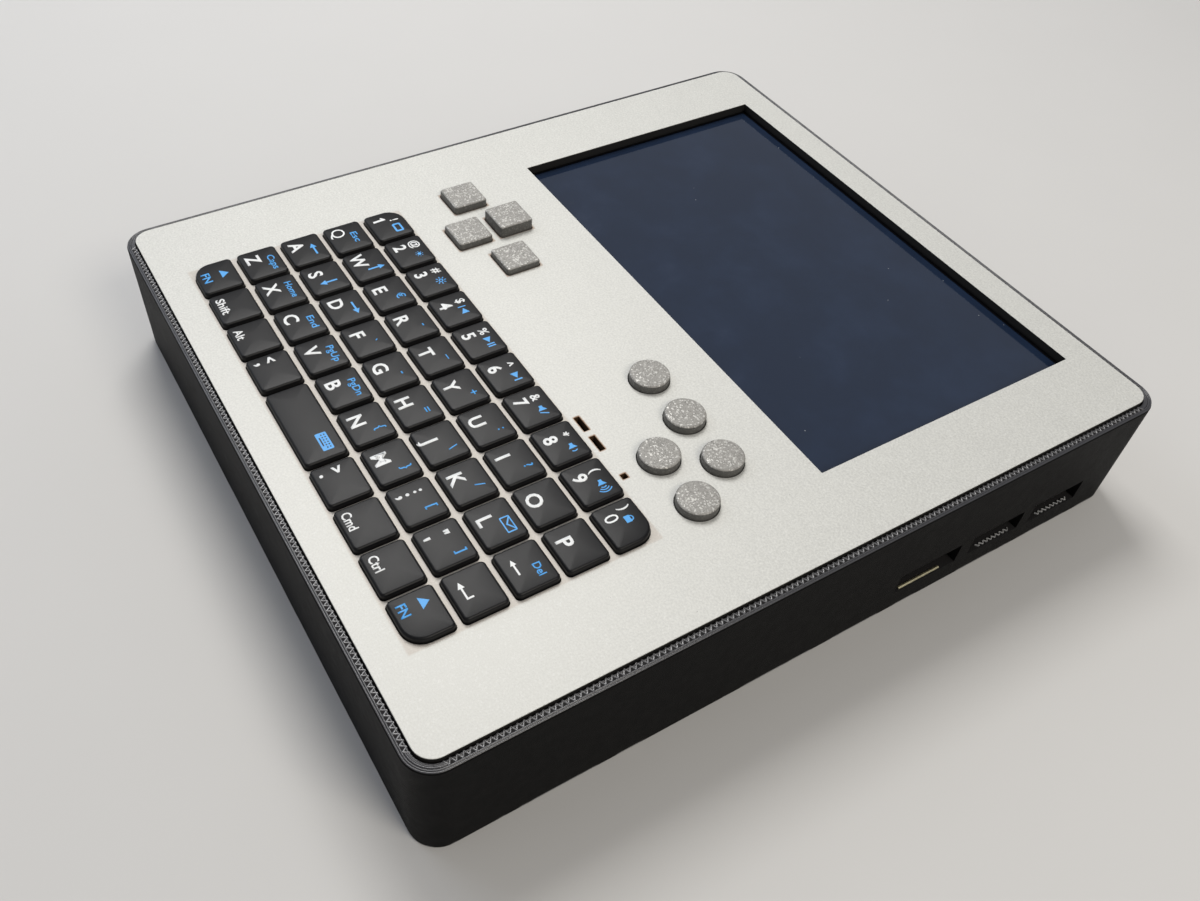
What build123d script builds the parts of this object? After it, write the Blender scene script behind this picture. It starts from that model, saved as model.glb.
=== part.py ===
"""Handheld computer: a flat slab with a small keyboard, nine round and square buttons and a screen.

Frame: origin at the centre of the underside, +X to the user's right (the socket side), +Y towards
the screen, +Z up out of the front plate. Millimetres.
"""
import os

from build123d import *

# Front plate and case. The plate is as wide as the window and its side margins. Its length runs over the
# near margin, the keyboard, the strip with the buttons, the window and the far margin.
SIDE_MARGIN = 16.0
NEAR_MARGIN = 6.375
BUTTON_STRIP = 33.975
FAR_MARGIN = 6.8
PLATE_T = 1.6
PLATE_CORNER_R = 3.6
PLATE_GAP = 0.25
PLATE_PROUD = 0.9
TAPE_T = 0.2
RIM_W = 2.0
CASE_H = 26.8
WALL_T = 2.0
EDGE_EASE = 0.4
LEDGE_W = 2.4
LEDGE_T = 2.4
COVER_T = 2.4
COVER_GAP = 0.2

# Screen
WINDOW_W = 108.0
WINDOW_L = 64.8
GLASS_DROP = 2.2
GLASS_T = 1.1
LCD_T = 3.0
LCD_SIDE_BORDER = 6.35
LCD_TOP_BORDER = 4.0
LCD_CABLE_BORDER = 7.0
GASKET_INSET = 1.5
GASKET_CLEARANCE = 0.3
FOAM_T = 1.6
FOAM_W = 6.0
FOAM_END = 6.0
FOAM_NEAR = 3.0
FOAM_FAR = 1.0
DISPLAY_BOARD_T = 1.6
DRIVER_SIZE = 12.0
DRIVER_H = 1.5
DRIVER_SIDE = 10.35
DRIVER_SHIFT = 4.8
SCREEN_PLUG_W = 24.0
SCREEN_PLUG_NEAR = 4.0

# Keyboard
KEY_COLUMNS = 10
KEY_ROWS = 5
KEY_PITCH_X = 10.46
KEY_PITCH_Y = 9.61
KEY_WEB_X = 0.76
KEY_WEB_Y = 1.05
KEY_GAP = 0.15
KEY_CORNER_R = 0.9
KEY_OUTER_R = 5.2
KEY_PROUD = 1.4
KEY_SHOULDER = 0.2
KEY_INSET = 0.5
KEY_EDGE_R = 0.25
KEY_FLANGE = 0.4
KEY_FLANGE_T = 0.7
KEY_FOOT_R = 1.6
KEY_FOOT_L = 1.0
KEY_TRAVEL = 0.7
SPACE_COLUMN = 4
DOME_R = 2.5
DOME_T = 0.3
DOME_SHEET_T = 0.2
DOME_SHEET_EDGE = 1.5
FLANGE_GAP = 0.1
TRAVEL_GAP = 0.05

# Buttons: the pad's centre and the first round button lie this far from the plate's side and the window
PAD_SIDE = 32.8
PAD_DROP = 19.4
ACTION_SIDE = 51.1
ACTION_DROP = 14.4
CAP_SIZE = 8.0
CAP_GAP = 0.15
CAP_FLANGE = 0.65
CAP_FLANGE_T = 1.0
CAP_TRAVEL = 0.3
CAP_FOOT_R = 2.0
SQUARE_CORNER_R = 0.7
CAP_EDGE_R = 0.7
PAD_STEP_X = 12.0
PAD_STEP_Y = 5.0
LEFT_PROUD = 1.7
RIGHT_PROUD = 1.4
UP_PROUD = 2.5
DOWN_PROUD = 1.5
ACTION_PITCH = 12.0
ACTION_ROW_STEP = 10.0
ACTION_ROW_SHIFT = 1.5
ACTION_PROUD = 1.7

# Light slots in the plate, this far from the key openings and from the first round button
SLOT_L = 3.85
SLOT_W = 1.15
SLOT_GAP = 2.2
SLOT_SHIFTS = [4.0, 9.5]
LIGHT_HOLE_SHIFT = 18.6
LIGHT_L = 3.0
LIGHT_W = 0.9
LIGHT_H = 1.2

# Switches and their boards
SWITCH_SIZE = 6.0
SWITCH_H = 3.5
PLUNGER_R = 1.7
PLUNGER_H = 0.4
BOARD_T = 1.6
SWITCH_BOARD_DROP = 6.5
SWITCH_BOARD_MARGIN = 9.0
SWITCH_SCREW_INSET = 1.8
BEAM_W = 2.8
BEAM_H = 4.0
BEAM_SLOT_GAP = 3.0
BEAM_SCREEN_GAP = 0.8

# Keyboard board
KEYBOARD_BOARD_EDGE = 4.0
KEYBOARD_PLUG_INSET = 8.0
RAIL_W = 8.0
RAIL_H = 3.0
RAIL_SCREW_INSET = 6.0
RAIL_SCREW_END = 5.0
BEAM_CLEARANCE = 0.4

# Sockets: place along the computer board from its middle, width of the wall's opening, shell width,
# clear width inside the shell
SOCKET_H = 5.8
SOCKET_CLEAR_H = 5.1
SOCKET_DEPTH = 14.0
SOCKET_BACK_T = 1.5
SOCKET_TONGUE_BACK = 2.6
SOCKET_TONGUE_T = 1.4
SOCKET_TONGUE_SIDE = 0.8
SOCKET_WALL_GAP = 0.1
SOCKET_OPENING_H = 5.2
SOCKETS = {
    "video_socket": (-16.8, 16.0, 15.0, 14.2),
    "usb_socket_near": (1.5, 14.0, 13.2, 12.5),
    "usb_socket_far": (18.5, 14.0, 13.2, 12.5),
}

# Computer board and what carries it; the chips' places are counted from its left edge and its middle
COMPUTER_L = 85.0
COMPUTER_W = 56.0
COMPUTER_FAR_GAP = 9.4
COMPUTER_POST_H = 1.3
COMPUTER_EDGE_GAP = 1.0
HOLE_INSET = 3.5
HOLE_SPAN_X = 58.0
HOLE_GAP = 0.1
CHIP_SIZE = 15.0
CHIP_H = 1.6
CHIP_LEFT = 28.0
CHIP_SHIFT = 2.6
MEMORY_W = 12.0
MEMORY_L = 10.0
MEMORY_H = 1.2
MEMORY_STEP = 24.0
MEMORY_SHIFT = 1.0
SINK_H = 6.0
SINK_BASE_T = 1.5
SINK_FINS = 6
SINK_FIN_T = 0.9
HEADER_L = 33.0
HEADER_W = 5.0

# Power: the charging board lies between the left wall and the computer board
BATTERY_W = 100.0
BATTERY_L = 48.0
BATTERY_T = 9.0
BATTERY_NEAR_GAP = 8.0
BATTERY_CORNER_R = 3.0
BATTERY_EDGE_R = 1.5
BATTERY_TAPE_T = 0.4
BATTERY_TAPE_INSET = 6.0
POWER_W = 36.0
POWER_L = 26.0
POWER_SHIFT = 1.0
POWER_DROP = 8.6
POWER_POST_H = 2.0
COIL_SIZE = 7.0
COIL_SHIFT = 0.5
POWER_PLUG_W = 8.0
POWER_PLUG_H = 3.0
LEAD_R = 0.6
LEAD_PITCH = 2.4
LEAD_BEND = 2.5
LEAD_LAP = 3.0
LEAD_BATTERY_RUN = 14.0
LEAD_BOARD_RUN = 12.0

# Ribbon cables; their places across are counted from the computer board's left edge
RIBBON_T = 0.3
RIBBON_W = 12.0
RIBBON_BEND = 2.0
RIBBON_DROP = 1.5
RIBBON_START_RUN = 3.0
RIBBON_LOW_RUN = 8.0
RIBBON_END_RUN = 4.0
KEYBOARD_RIBBON_LEFT = 19.0
ACTION_RIBBON_LEFT = 44.0
ACTION_RIBBON_NEAR = 6.0
LINK_RIBBON_W = 8.0
PLUG_H = 2.0
PLUG_L = 5.0
PLUG_EDGE = 1.0

# Fasteners
M3_R = 1.5
M3_HEAD_R = 2.8
M3_LENGTH = 8.0
M25_R = 1.25
M25_HEAD_R = 2.3
M25_HEAD_T = 1.2
BOARD_SCREW_L = 4.5
COMPUTER_SCREW_L = 9.0
RAIL_SCREW_HEAD_R = 2.0
RAIL_SCREW_TIP_GAP = 0.4
M2_R = 0.9
M2_HEAD_R = 1.6
M2_DEPTH = 3.0
INSERT_R = 2.1
INSERT_L = 5.0
BOSS_R = 4.0
BOSS_H = 12.0
BOSS_EDGE = 5.0
BOSS_ROOF_T = 2.0
POST_R = 3.0
POST_THREAD = 1.4
STANDOFF_FLATS = 5.0
THREAD_GAP = 0.05
HEAD_SINK = 0.1
HEAD_GAP = 0.1
DRIVE_R = 0.8
DRIVE_DEPTH = 1.0
PAN_DRIVE_DEPTH = 0.7
FUSE = 0.5

# Plan worked out from the sizes above
KEYBOARD_W = KEY_COLUMNS * KEY_PITCH_X
KEYBOARD_L = KEY_ROWS * KEY_PITCH_Y
PLATE_W = WINDOW_W + 2 * SIDE_MARGIN
PLATE_L = NEAR_MARGIN + KEYBOARD_L + BUTTON_STRIP + WINDOW_L + FAR_MARGIN
KEYBOARD_Y = -PLATE_L / 2 + NEAR_MARGIN + KEYBOARD_L / 2
WINDOW_Y = PLATE_L / 2 - FAR_MARGIN - WINDOW_L / 2
WINDOW_NEAR_Y = WINDOW_Y - WINDOW_L / 2
PAD_X = PAD_SIDE - PLATE_W / 2
PAD_Y = WINDOW_NEAR_Y - PAD_DROP
ACTION_X = PLATE_W / 2 - ACTION_SIDE
ACTION_Y = WINDOW_NEAR_Y - ACTION_DROP
SLOT_Y = KEYBOARD_Y + KEYBOARD_L / 2 - KEY_WEB_Y / 2 + SLOT_GAP
SLOT_XS = [ACTION_X + shift for shift in SLOT_SHIFTS]
LIGHT_HOLE_X = ACTION_X + LIGHT_HOLE_SHIFT

# Levels
PLATE_TOP = CASE_H + PLATE_PROUD
PLATE_BASE = PLATE_TOP - PLATE_T
LEDGE_Z = PLATE_BASE - TAPE_T
GLASS_TOP = PLATE_TOP - GLASS_DROP
LCD_TOP = GLASS_TOP - GLASS_T
LCD_BASE = LCD_TOP - LCD_T
DISPLAY_BOARD_TOP = LCD_BASE - FOAM_T
DISPLAY_BOARD_BASE = DISPLAY_BOARD_TOP - DISPLAY_BOARD_T
COMPUTER_BASE = COVER_T + COMPUTER_POST_H
COMPUTER_TOP = COMPUTER_BASE + BOARD_T
POWER_BASE = COVER_T + POWER_POST_H
POWER_TOP = POWER_BASE + BOARD_T
SOCKET_Z = COMPUTER_TOP + SOCKET_H / 2
FLANGE_TOP = PLATE_BASE - FLANGE_GAP
KEY_FLANGE_BASE = FLANGE_TOP - KEY_FLANGE_T
KEY_FOOT_BASE = KEY_FLANGE_BASE - KEY_FOOT_L
DOME_TOP = KEY_FOOT_BASE - KEY_TRAVEL - TRAVEL_GAP
KEYBOARD_BOARD_TOP = DOME_TOP - DOME_T - DOME_SHEET_T
KEYBOARD_BOARD_BASE = KEYBOARD_BOARD_TOP - BOARD_T
SWITCH_BOARD_TOP = PLATE_BASE - SWITCH_BOARD_DROP
SWITCH_BOARD_BASE = SWITCH_BOARD_TOP - BOARD_T
SWITCH_TOP = SWITCH_BOARD_TOP + SWITCH_H + PLUNGER_H
CAP_FOOT_BASE = SWITCH_TOP + CAP_TRAVEL + TRAVEL_GAP
RIBBON_LOW = SWITCH_BOARD_BASE - BEAM_H - RIBBON_DROP

# Plan inside the case
CASE_W = PLATE_W + 2 * RIM_W
CASE_L = PLATE_L + 2 * RIM_W
INNER_X = CASE_W / 2 - WALL_T
INNER_Y = CASE_L / 2 - WALL_T
INNER_R = PLATE_CORNER_R + RIM_W - WALL_T
LCD_X = WINDOW_W / 2 + LCD_SIDE_BORDER
LCD_NEAR_Y = WINDOW_NEAR_Y - LCD_CABLE_BORDER
LCD_FAR_Y = WINDOW_Y + WINDOW_L / 2 + LCD_TOP_BORDER
BEAM_NEAR_Y = SLOT_Y + BEAM_SLOT_GAP
BEAM_FAR_Y = LCD_NEAR_Y - BEAM_SCREEN_GAP - BEAM_W / 2
KEYBOARD_BOARD_X = INNER_X - KEYBOARD_BOARD_EDGE
KEYBOARD_BOARD_NEAR = -INNER_Y + KEYBOARD_BOARD_EDGE
KEYBOARD_BOARD_FAR = BEAM_NEAR_Y - BEAM_W / 2 - BEAM_CLEARANCE
COMPUTER_RIGHT = INNER_X - COMPUTER_EDGE_GAP
COMPUTER_LEFT = COMPUTER_RIGHT - COMPUTER_L
COMPUTER_Y = INNER_Y - COMPUTER_FAR_GAP - COMPUTER_W / 2
COMPUTER_NEAR = COMPUTER_Y - COMPUTER_W / 2
CHIP_X = COMPUTER_LEFT + CHIP_LEFT
CHIP_Y = COMPUTER_Y - CHIP_SHIFT
HEADER_X = COMPUTER_LEFT + HOLE_INSET + HOLE_SPAN_X / 2
KEYBOARD_RIBBON_X = COMPUTER_LEFT + KEYBOARD_RIBBON_LEFT
ACTION_RIBBON_X = COMPUTER_LEFT + ACTION_RIBBON_LEFT
BATTERY_Y = -INNER_Y + BATTERY_NEAR_GAP + BATTERY_L / 2
POWER_X = (COMPUTER_LEFT - INNER_X) / 2 + POWER_SHIFT
POWER_Y = COMPUTER_Y - POWER_DROP

# Places that repeat
COVER_SCREW_PLACES = [
    (sx * (INNER_X - BOSS_EDGE), y)
    for sx in (-1, 1)
    for y in (-(INNER_Y - BOSS_EDGE), 0, INNER_Y - BOSS_EDGE)
]
COMPUTER_HOLES = [
    (COMPUTER_LEFT + HOLE_INSET + dx, COMPUTER_Y + sy * (COMPUTER_W / 2 - HOLE_INSET))
    for dx in (0, HOLE_SPAN_X)
    for sy in (-1, 1)
]
POWER_HOLES = [
    (POWER_X + s * (POWER_W / 2 - HOLE_INSET), POWER_Y - s * (POWER_L / 2 - HOLE_INSET)) for s in (-1, 1)
]
RAIL_SCREWS = [
    (sx * (INNER_X - RAIL_SCREW_INSET), y)
    for sx in (-1, 1)
    for y in (
        KEYBOARD_BOARD_NEAR + RAIL_SCREW_END,
        (KEYBOARD_BOARD_NEAR + KEYBOARD_BOARD_FAR) / 2,
        KEYBOARD_BOARD_FAR - RAIL_SCREW_END,
    )
]
DIRECTIONS = {
    "direction_left": (PAD_X - PAD_STEP_X, PAD_Y, LEFT_PROUD),
    "direction_right": (PAD_X + PAD_STEP_X, PAD_Y, RIGHT_PROUD),
    "direction_up": (PAD_X, PAD_Y + PAD_STEP_Y, UP_PROUD),
    "direction_down": (PAD_X, PAD_Y - PAD_STEP_Y, DOWN_PROUD),
}
ACTIONS = {f"action_button_{i + 1}": (ACTION_X + i * ACTION_PITCH, ACTION_Y) for i in range(3)}
ACTIONS |= {
    f"action_button_{i + 4}": (ACTION_X + (ACTION_ROW_SHIFT + i) * ACTION_PITCH, ACTION_Y - ACTION_ROW_STEP)
    for i in range(2)
}
# Middle and half width of each switch board; the round buttons reach half a pitch past their first row
DIRECTION_BOARD = (PAD_X, PAD_STEP_X + SWITCH_BOARD_MARGIN)
ACTION_HALF = (1 + ACTION_ROW_SHIFT) / 2 * ACTION_PITCH
ACTION_BOARD = (ACTION_X + ACTION_HALF, ACTION_HALF + SWITCH_BOARD_MARGIN)

BOTTOM_KEYS = ["fn_left", "shift", "alt", "comma", "space", "period", "command", "control", "fn_right"]
KEY_ROW_NODES = ["letter_row_low", "letter_row_middle", "letter_row_high", "digit_row"]


def block(x0, x1, y0, y1, z0, z1):
    """A box between two corners."""
    size = (abs(x1 - x0), abs(y1 - y0), abs(z1 - z0))
    return Pos((x0 + x1) / 2, (y0 + y1) / 2, (z0 + z1) / 2) * Box(*size)


def rod(x, y, z0, z1, radius):
    """An upright cylinder."""
    return Pos(x, y, (z0 + z1) / 2) * Cylinder(radius, z1 - z0)


def slab(width, length, radius, z0, z1, x=0.0, y=0.0):
    """A flat plate with rounded corners."""
    return Pos(x, y, z0) * extrude(RectangleRounded(width, length, radius), z1 - z0)


def one(shape):
    """The single solid of a shape."""
    solids = shape.solids()
    if len(solids) != 1:
        raise ValueError(f"expected one solid, found {len(solids)}")
    return solids[0]


def group(shapes):
    """Separate solids that share a node."""
    return Compound(children=[one(s) for s in shapes])


def key_slots():
    """Name of the node, outline centre, width and rounded outer corner of every key."""
    slots = []
    for row in range(KEY_ROWS):
        y = KEYBOARD_Y - KEYBOARD_L / 2 + (row + 0.5) * KEY_PITCH_Y
        column = 0
        while column < KEY_COLUMNS:
            units = 2 if row == 0 and column == SPACE_COLUMN else 1
            x = -KEYBOARD_W / 2 + (column + units / 2) * KEY_PITCH_X
            side = -1 if column == 0 else 1 if column + units == KEY_COLUMNS else 0
            end = -1 if row == 0 else 1 if row == KEY_ROWS - 1 else 0
            corner = (side, end) if side and end else None
            slots.append((key_node(row, column), x, y, units, corner))
            column += units
    return slots


def key_node(row, column):
    """The bottom row's keys, enter and backspace have their own nodes; the others share their row's."""
    if row == 0:
        return "key_" + BOTTOM_KEYS[column if column <= SPACE_COLUMN else column - 1]
    if column == KEY_COLUMNS - 1 and row in (1, 2):
        return "key_enter" if row == 1 else "key_backspace"
    return "keys_" + KEY_ROW_NODES[row - 1]


def key_outline(units, corner, grow):
    """A key's outline, grown or drawn in, with the keyboard's outer corner rounded wide."""
    width = units * KEY_PITCH_X - KEY_WEB_X - 2 * KEY_GAP + 2 * grow
    length = KEY_PITCH_Y - KEY_WEB_Y - 2 * KEY_GAP + 2 * grow
    face = Rectangle(width, length)
    if corner is None:
        return fillet(face.vertices(), KEY_CORNER_R)
    reach = width / 2 + length / 2 - 0.01
    outer = face.vertices().filter_by(lambda v: v.X * corner[0] + v.Y * corner[1] > reach)
    face = fillet(face.vertices().filter_by(lambda v: v not in outer), KEY_CORNER_R)
    outer = face.vertices().filter_by(lambda v: v.X * corner[0] + v.Y * corner[1] > reach)
    return fillet(outer, KEY_OUTER_R + grow)


def key(units, corner):
    """A key at the origin: a tapered cap through the plate, a retaining flange below it and a foot over its dome."""
    outline = key_outline(units, corner, 0)
    shoulder = PLATE_TOP + KEY_SHOULDER - KEY_FLANGE_BASE
    rise = PLATE_TOP + KEY_PROUD - KEY_FLANGE_BASE
    straight = extrude(outline, shoulder)
    slope = [Pos(0, 0, shoulder) * outline, Pos(0, 0, rise) * key_outline(units, corner, -KEY_INSET)]
    body = straight + loft(slope, ruled=True)
    body = fillet(body.edges().filter_by_position(Axis.Z, rise - 0.01, rise + 0.01), KEY_EDGE_R)
    flange = extrude(key_outline(units, corner, KEY_FLANGE), KEY_FLANGE_T)
    foot = Pos(0, 0, -KEY_FOOT_L / 2) * Cylinder(KEY_FOOT_R, KEY_FOOT_L)
    return Pos(0, 0, KEY_FLANGE_BASE) * (body + flange + foot)


def keys():
    """All keys, by node."""
    made = {}
    nodes = {}
    for node, x, y, units, corner in key_slots():
        kind = (units, corner)
        if kind not in made:
            made[kind] = one(key(units, corner))
        nodes.setdefault(node, []).append(Pos(x, y, 0) * made[kind])
    return {node: group(shapes) for node, shapes in nodes.items()}


def cap(x, y, proud, outline, flange_outline):
    """A button cap: top through the plate, flange below it and a foot over its switch."""
    top = PLATE_TOP + proud
    body = Pos(x, y, FLANGE_TOP - CAP_FLANGE_T) * extrude(outline, top - FLANGE_TOP + CAP_FLANGE_T)
    body = fillet(body.edges().filter_by_position(Axis.Z, top - 0.01, top + 0.01), CAP_EDGE_R)
    flange = Pos(x, y, FLANGE_TOP - CAP_FLANGE_T) * extrude(flange_outline, CAP_FLANGE_T)
    return body + flange + rod(x, y, CAP_FOOT_BASE, FLANGE_TOP, CAP_FOOT_R)


def direction_caps():
    """The four square caps of the direction pad."""
    outline = RectangleRounded(CAP_SIZE, CAP_SIZE, SQUARE_CORNER_R)
    side = CAP_SIZE + 2 * CAP_FLANGE
    flange = RectangleRounded(side, side, SQUARE_CORNER_R)
    return {node: cap(x, y, proud, outline, flange) for node, (x, y, proud) in DIRECTIONS.items()}


def action_caps():
    """The five round caps."""
    outline = Circle(CAP_SIZE / 2)
    flange = Circle(CAP_SIZE / 2 + CAP_FLANGE)
    return {node: cap(x, y, ACTION_PROUD, outline, flange) for node, (x, y) in ACTIONS.items()}


def front_plate():
    """The front plate with its screen window, key openings, cap holes and light slots."""
    body = slab(PLATE_W, PLATE_L, PLATE_CORNER_R, PLATE_BASE, PLATE_TOP)
    deep = (PLATE_BASE - 1, PLATE_TOP + 1)
    cuts = [Pos(0, WINDOW_Y, PLATE_BASE + PLATE_T / 2) * Box(WINDOW_W, WINDOW_L, PLATE_T + 2)]
    for _, x, y, units, corner in key_slots():
        cuts.append(Pos(x, y, deep[0]) * extrude(key_outline(units, corner, KEY_GAP), PLATE_T + 2))
    side = CAP_SIZE + 2 * CAP_GAP
    for x, y, _ in DIRECTIONS.values():
        cuts.append(slab(side, side, SQUARE_CORNER_R + CAP_GAP, *deep, x, y))
    for x, y in ACTIONS.values():
        cuts.append(rod(x, y, *deep, side / 2))
    for x in SLOT_XS:
        cuts.append(Pos(x, SLOT_Y, PLATE_BASE + PLATE_T / 2) * Box(SLOT_L, SLOT_W, PLATE_T + 2))
    cuts.append(Pos(LIGHT_HOLE_X, SLOT_Y, PLATE_BASE + PLATE_T / 2) * Box(SLOT_W, SLOT_W, PLATE_T + 2))
    return body - cuts


def ledge_hole(z0, z1, inset):
    """The opening inside the plate's ledge."""
    radius = max(INNER_R - inset, 0.5)
    return slab(2 * (INNER_X - inset), 2 * (INNER_Y - inset), radius, z0, z1)


def boss(x, y):
    """A screw boss that grows out of the nearest walls."""
    body = rod(x, y, COVER_T, COVER_T + BOSS_H, BOSS_R)
    sx = 1 if x > 0 else -1
    body += block(x, sx * (INNER_X + FUSE), y - BOSS_R, y + BOSS_R, COVER_T, COVER_T + BOSS_H)
    if y:
        sy = 1 if y > 0 else -1
        body += block(x - BOSS_R, x + BOSS_R, y, sy * (INNER_Y + FUSE), COVER_T, COVER_T + BOSS_H)
    return body


def case_frame():
    """The printed case: walls, rim, the ledge that carries the plate, bosses, board rails and beams."""
    body = slab(CASE_W, CASE_L, PLATE_CORNER_R + RIM_W, 0, CASE_H)
    body = chamfer(body.faces().sort_by(Axis.Z)[0].edges(), EDGE_EASE)
    body = fillet(body.faces().sort_by(Axis.Z)[-1].edges(), EDGE_EASE)
    ledge_base = LEDGE_Z - LEDGE_T
    body -= slab(2 * INNER_X, 2 * INNER_Y, INNER_R, -1, ledge_base - LEDGE_W)
    body -= ledge_hole(ledge_base - LEDGE_W - 0.01, CASE_H + 1, LEDGE_W)
    bevel = Pos(0, 0, ledge_base - LEDGE_W) * extrude(
        RectangleRounded(2 * INNER_X, 2 * INNER_Y, INNER_R), LEDGE_W, taper=45
    )
    body -= bevel
    seat_w = PLATE_W + 2 * PLATE_GAP
    seat_l = PLATE_L + 2 * PLATE_GAP
    body -= slab(seat_w, seat_l, PLATE_CORNER_R + PLATE_GAP, LEDGE_Z, CASE_H + 1)
    room = slab(2 * INNER_X + 0.6, 2 * INNER_Y + 0.6, INNER_R + 0.3, -1, CASE_H)
    extras = [boss(x, y) for x, y in COVER_SCREW_PLACES]
    for sx in (-1, 1):
        rail = (sx * (INNER_X - RAIL_W), sx * (INNER_X + FUSE))
        extras.append(
            block(*rail, KEYBOARD_BOARD_NEAR, KEYBOARD_BOARD_FAR, KEYBOARD_BOARD_BASE - RAIL_H, KEYBOARD_BOARD_BASE)
        )
    for y in (BEAM_NEAR_Y, BEAM_FAR_Y):
        reach = INNER_X + FUSE
        extras.append(
            block(-reach, reach, y - BEAM_W / 2, y + BEAM_W / 2, SWITCH_BOARD_BASE - BEAM_H, SWITCH_BOARD_BASE)
        )
    for extra in extras:
        body += extra & room
    for x, y in COVER_SCREW_PLACES:
        body -= rod(x, y, COVER_T - 1, COVER_T + INSERT_L, INSERT_R)
        body -= rod(x, y, COVER_T - 1, COVER_T + BOSS_H - BOSS_ROOF_T, M3_R + THREAD_GAP)
    for x, y in RAIL_SCREWS:
        body -= rod(x, y, KEYBOARD_BOARD_BASE - RAIL_H - 1, KEYBOARD_BOARD_BASE + 1, M25_R + THREAD_GAP)
    for x, y in switch_screws():
        body -= rod(x, y, SWITCH_BOARD_BASE - BEAM_H + FUSE, SWITCH_BOARD_BASE + 1, M2_R + THREAD_GAP)
    for shift, opening_w, _, _ in SOCKETS.values():
        y = COMPUTER_Y + shift
        cut_h = SOCKET_OPENING_H / 2
        body -= block(
            INNER_X - 1, CASE_W / 2 + 1, y - opening_w / 2, y + opening_w / 2, SOCKET_Z - cut_h, SOCKET_Z + cut_h
        )
    return one(body)


def plate_tape():
    """The thin adhesive frame between plate and ledge."""
    outer = slab(PLATE_W, PLATE_L, PLATE_CORNER_R, LEDGE_Z, PLATE_BASE)
    return outer - ledge_hole(LEDGE_Z - 1, PLATE_BASE + 1, LEDGE_W)


def bottom_cover():
    """The underside's cover with its countersunk holes and the posts that carry the boards."""
    width = 2 * (INNER_X - COVER_GAP)
    length = 2 * (INNER_Y - COVER_GAP)
    body = slab(width, length, INNER_R - COVER_GAP, 0, COVER_T)
    body = chamfer(body.faces().sort_by(Axis.Z)[0].edges(), EDGE_EASE / 2)
    for x, y in COMPUTER_HOLES:
        body += rod(x, y, COVER_T - FUSE, COMPUTER_BASE, POST_R)
        body -= csk_cut(x, y, M25_R, M25_HEAD_R, COMPUTER_BASE + 1)
    for x, y in POWER_HOLES:
        body += rod(x, y, COVER_T - FUSE, POWER_BASE, POST_R)
        body -= rod(x, y, COVER_T - POST_THREAD, POWER_BASE + 1, M25_R + THREAD_GAP)
    for x, y in COVER_SCREW_PLACES:
        body -= csk_cut(x, y, M3_R, M3_HEAD_R, COVER_T + 1)
    return one(body)


def csk_cut(x, y, radius, head_radius, top):
    """The hole for a countersunk screw driven in from below."""
    bore = radius + HEAD_GAP
    mouth = head_radius + HEAD_GAP
    depth = head_radius - radius
    cone = Pos(x, y, HEAD_SINK + depth / 2) * Cone(mouth, bore, depth)
    return rod(x, y, -1, top, bore) + cone + rod(x, y, -1, HEAD_SINK, mouth)


def csk_screw(x, y, radius, head_radius, length):
    """A countersunk screw that points up, its head just below the underside."""
    depth = head_radius - radius
    head = Pos(x, y, HEAD_SINK + depth / 2) * Cone(head_radius, radius, depth)
    body = head + rod(x, y, HEAD_SINK + depth, HEAD_SINK + length, radius)
    return body - Pos(x, y, 0) * extrude(RegularPolygon(DRIVE_R, 6), HEAD_SINK + DRIVE_DEPTH)


def pan_screw(x, y, seat, radius, length, head_radius=M25_HEAD_R):
    """A flat-headed screw that points down from its seat."""
    body = rod(x, y, seat, seat + M25_HEAD_T, head_radius) + rod(x, y, seat - length, seat, radius)
    drive = extrude(RegularPolygon(DRIVE_R, 6), PAN_DRIVE_DEPTH + 0.3)
    return body - Pos(x, y, seat + M25_HEAD_T - PAN_DRIVE_DEPTH) * drive


def cover_screws():
    """Six countersunk screws that hold the cover."""
    return group(csk_screw(x, y, M3_R, M3_HEAD_R, M3_LENGTH) for x, y in COVER_SCREW_PLACES)


def threaded_inserts():
    """Brass inserts in the bosses, for the cover's screws."""
    return group(
        rod(x, y, COVER_T, COVER_T + INSERT_L, INSERT_R) - rod(x, y, 0, CASE_H, M3_R + THREAD_GAP)
        for x, y in COVER_SCREW_PLACES
    )


def display_sheet(z0, z1):
    """A flat layer with the screen module's outline."""
    return block(-LCD_X, LCD_X, LCD_NEAR_Y, LCD_FAR_Y, z0, z1)


def display_gasket():
    """The soft black frame between plate and glass."""
    inset = GASKET_INSET
    outer = block(-LCD_X + inset, LCD_X - inset, LCD_NEAR_Y + inset, LCD_FAR_Y - inset, GLASS_TOP, PLATE_BASE)
    hole_x = WINDOW_W / 2 + GASKET_CLEARANCE
    hole_y = WINDOW_L / 2 + GASKET_CLEARANCE
    return outer - block(-hole_x, hole_x, WINDOW_Y - hole_y, WINDOW_Y + hole_y, GLASS_TOP - 1, PLATE_BASE + 1)


def display_pads():
    """Two foam strips between the screen module and its board."""
    reach = LCD_X - FOAM_END
    near = LCD_NEAR_Y + FOAM_NEAR
    far = LCD_FAR_Y - FOAM_FAR
    return group(
        block(-reach, reach, start, start + FOAM_W, DISPLAY_BOARD_TOP, LCD_BASE) for start in (near, far - FOAM_W)
    )


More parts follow.
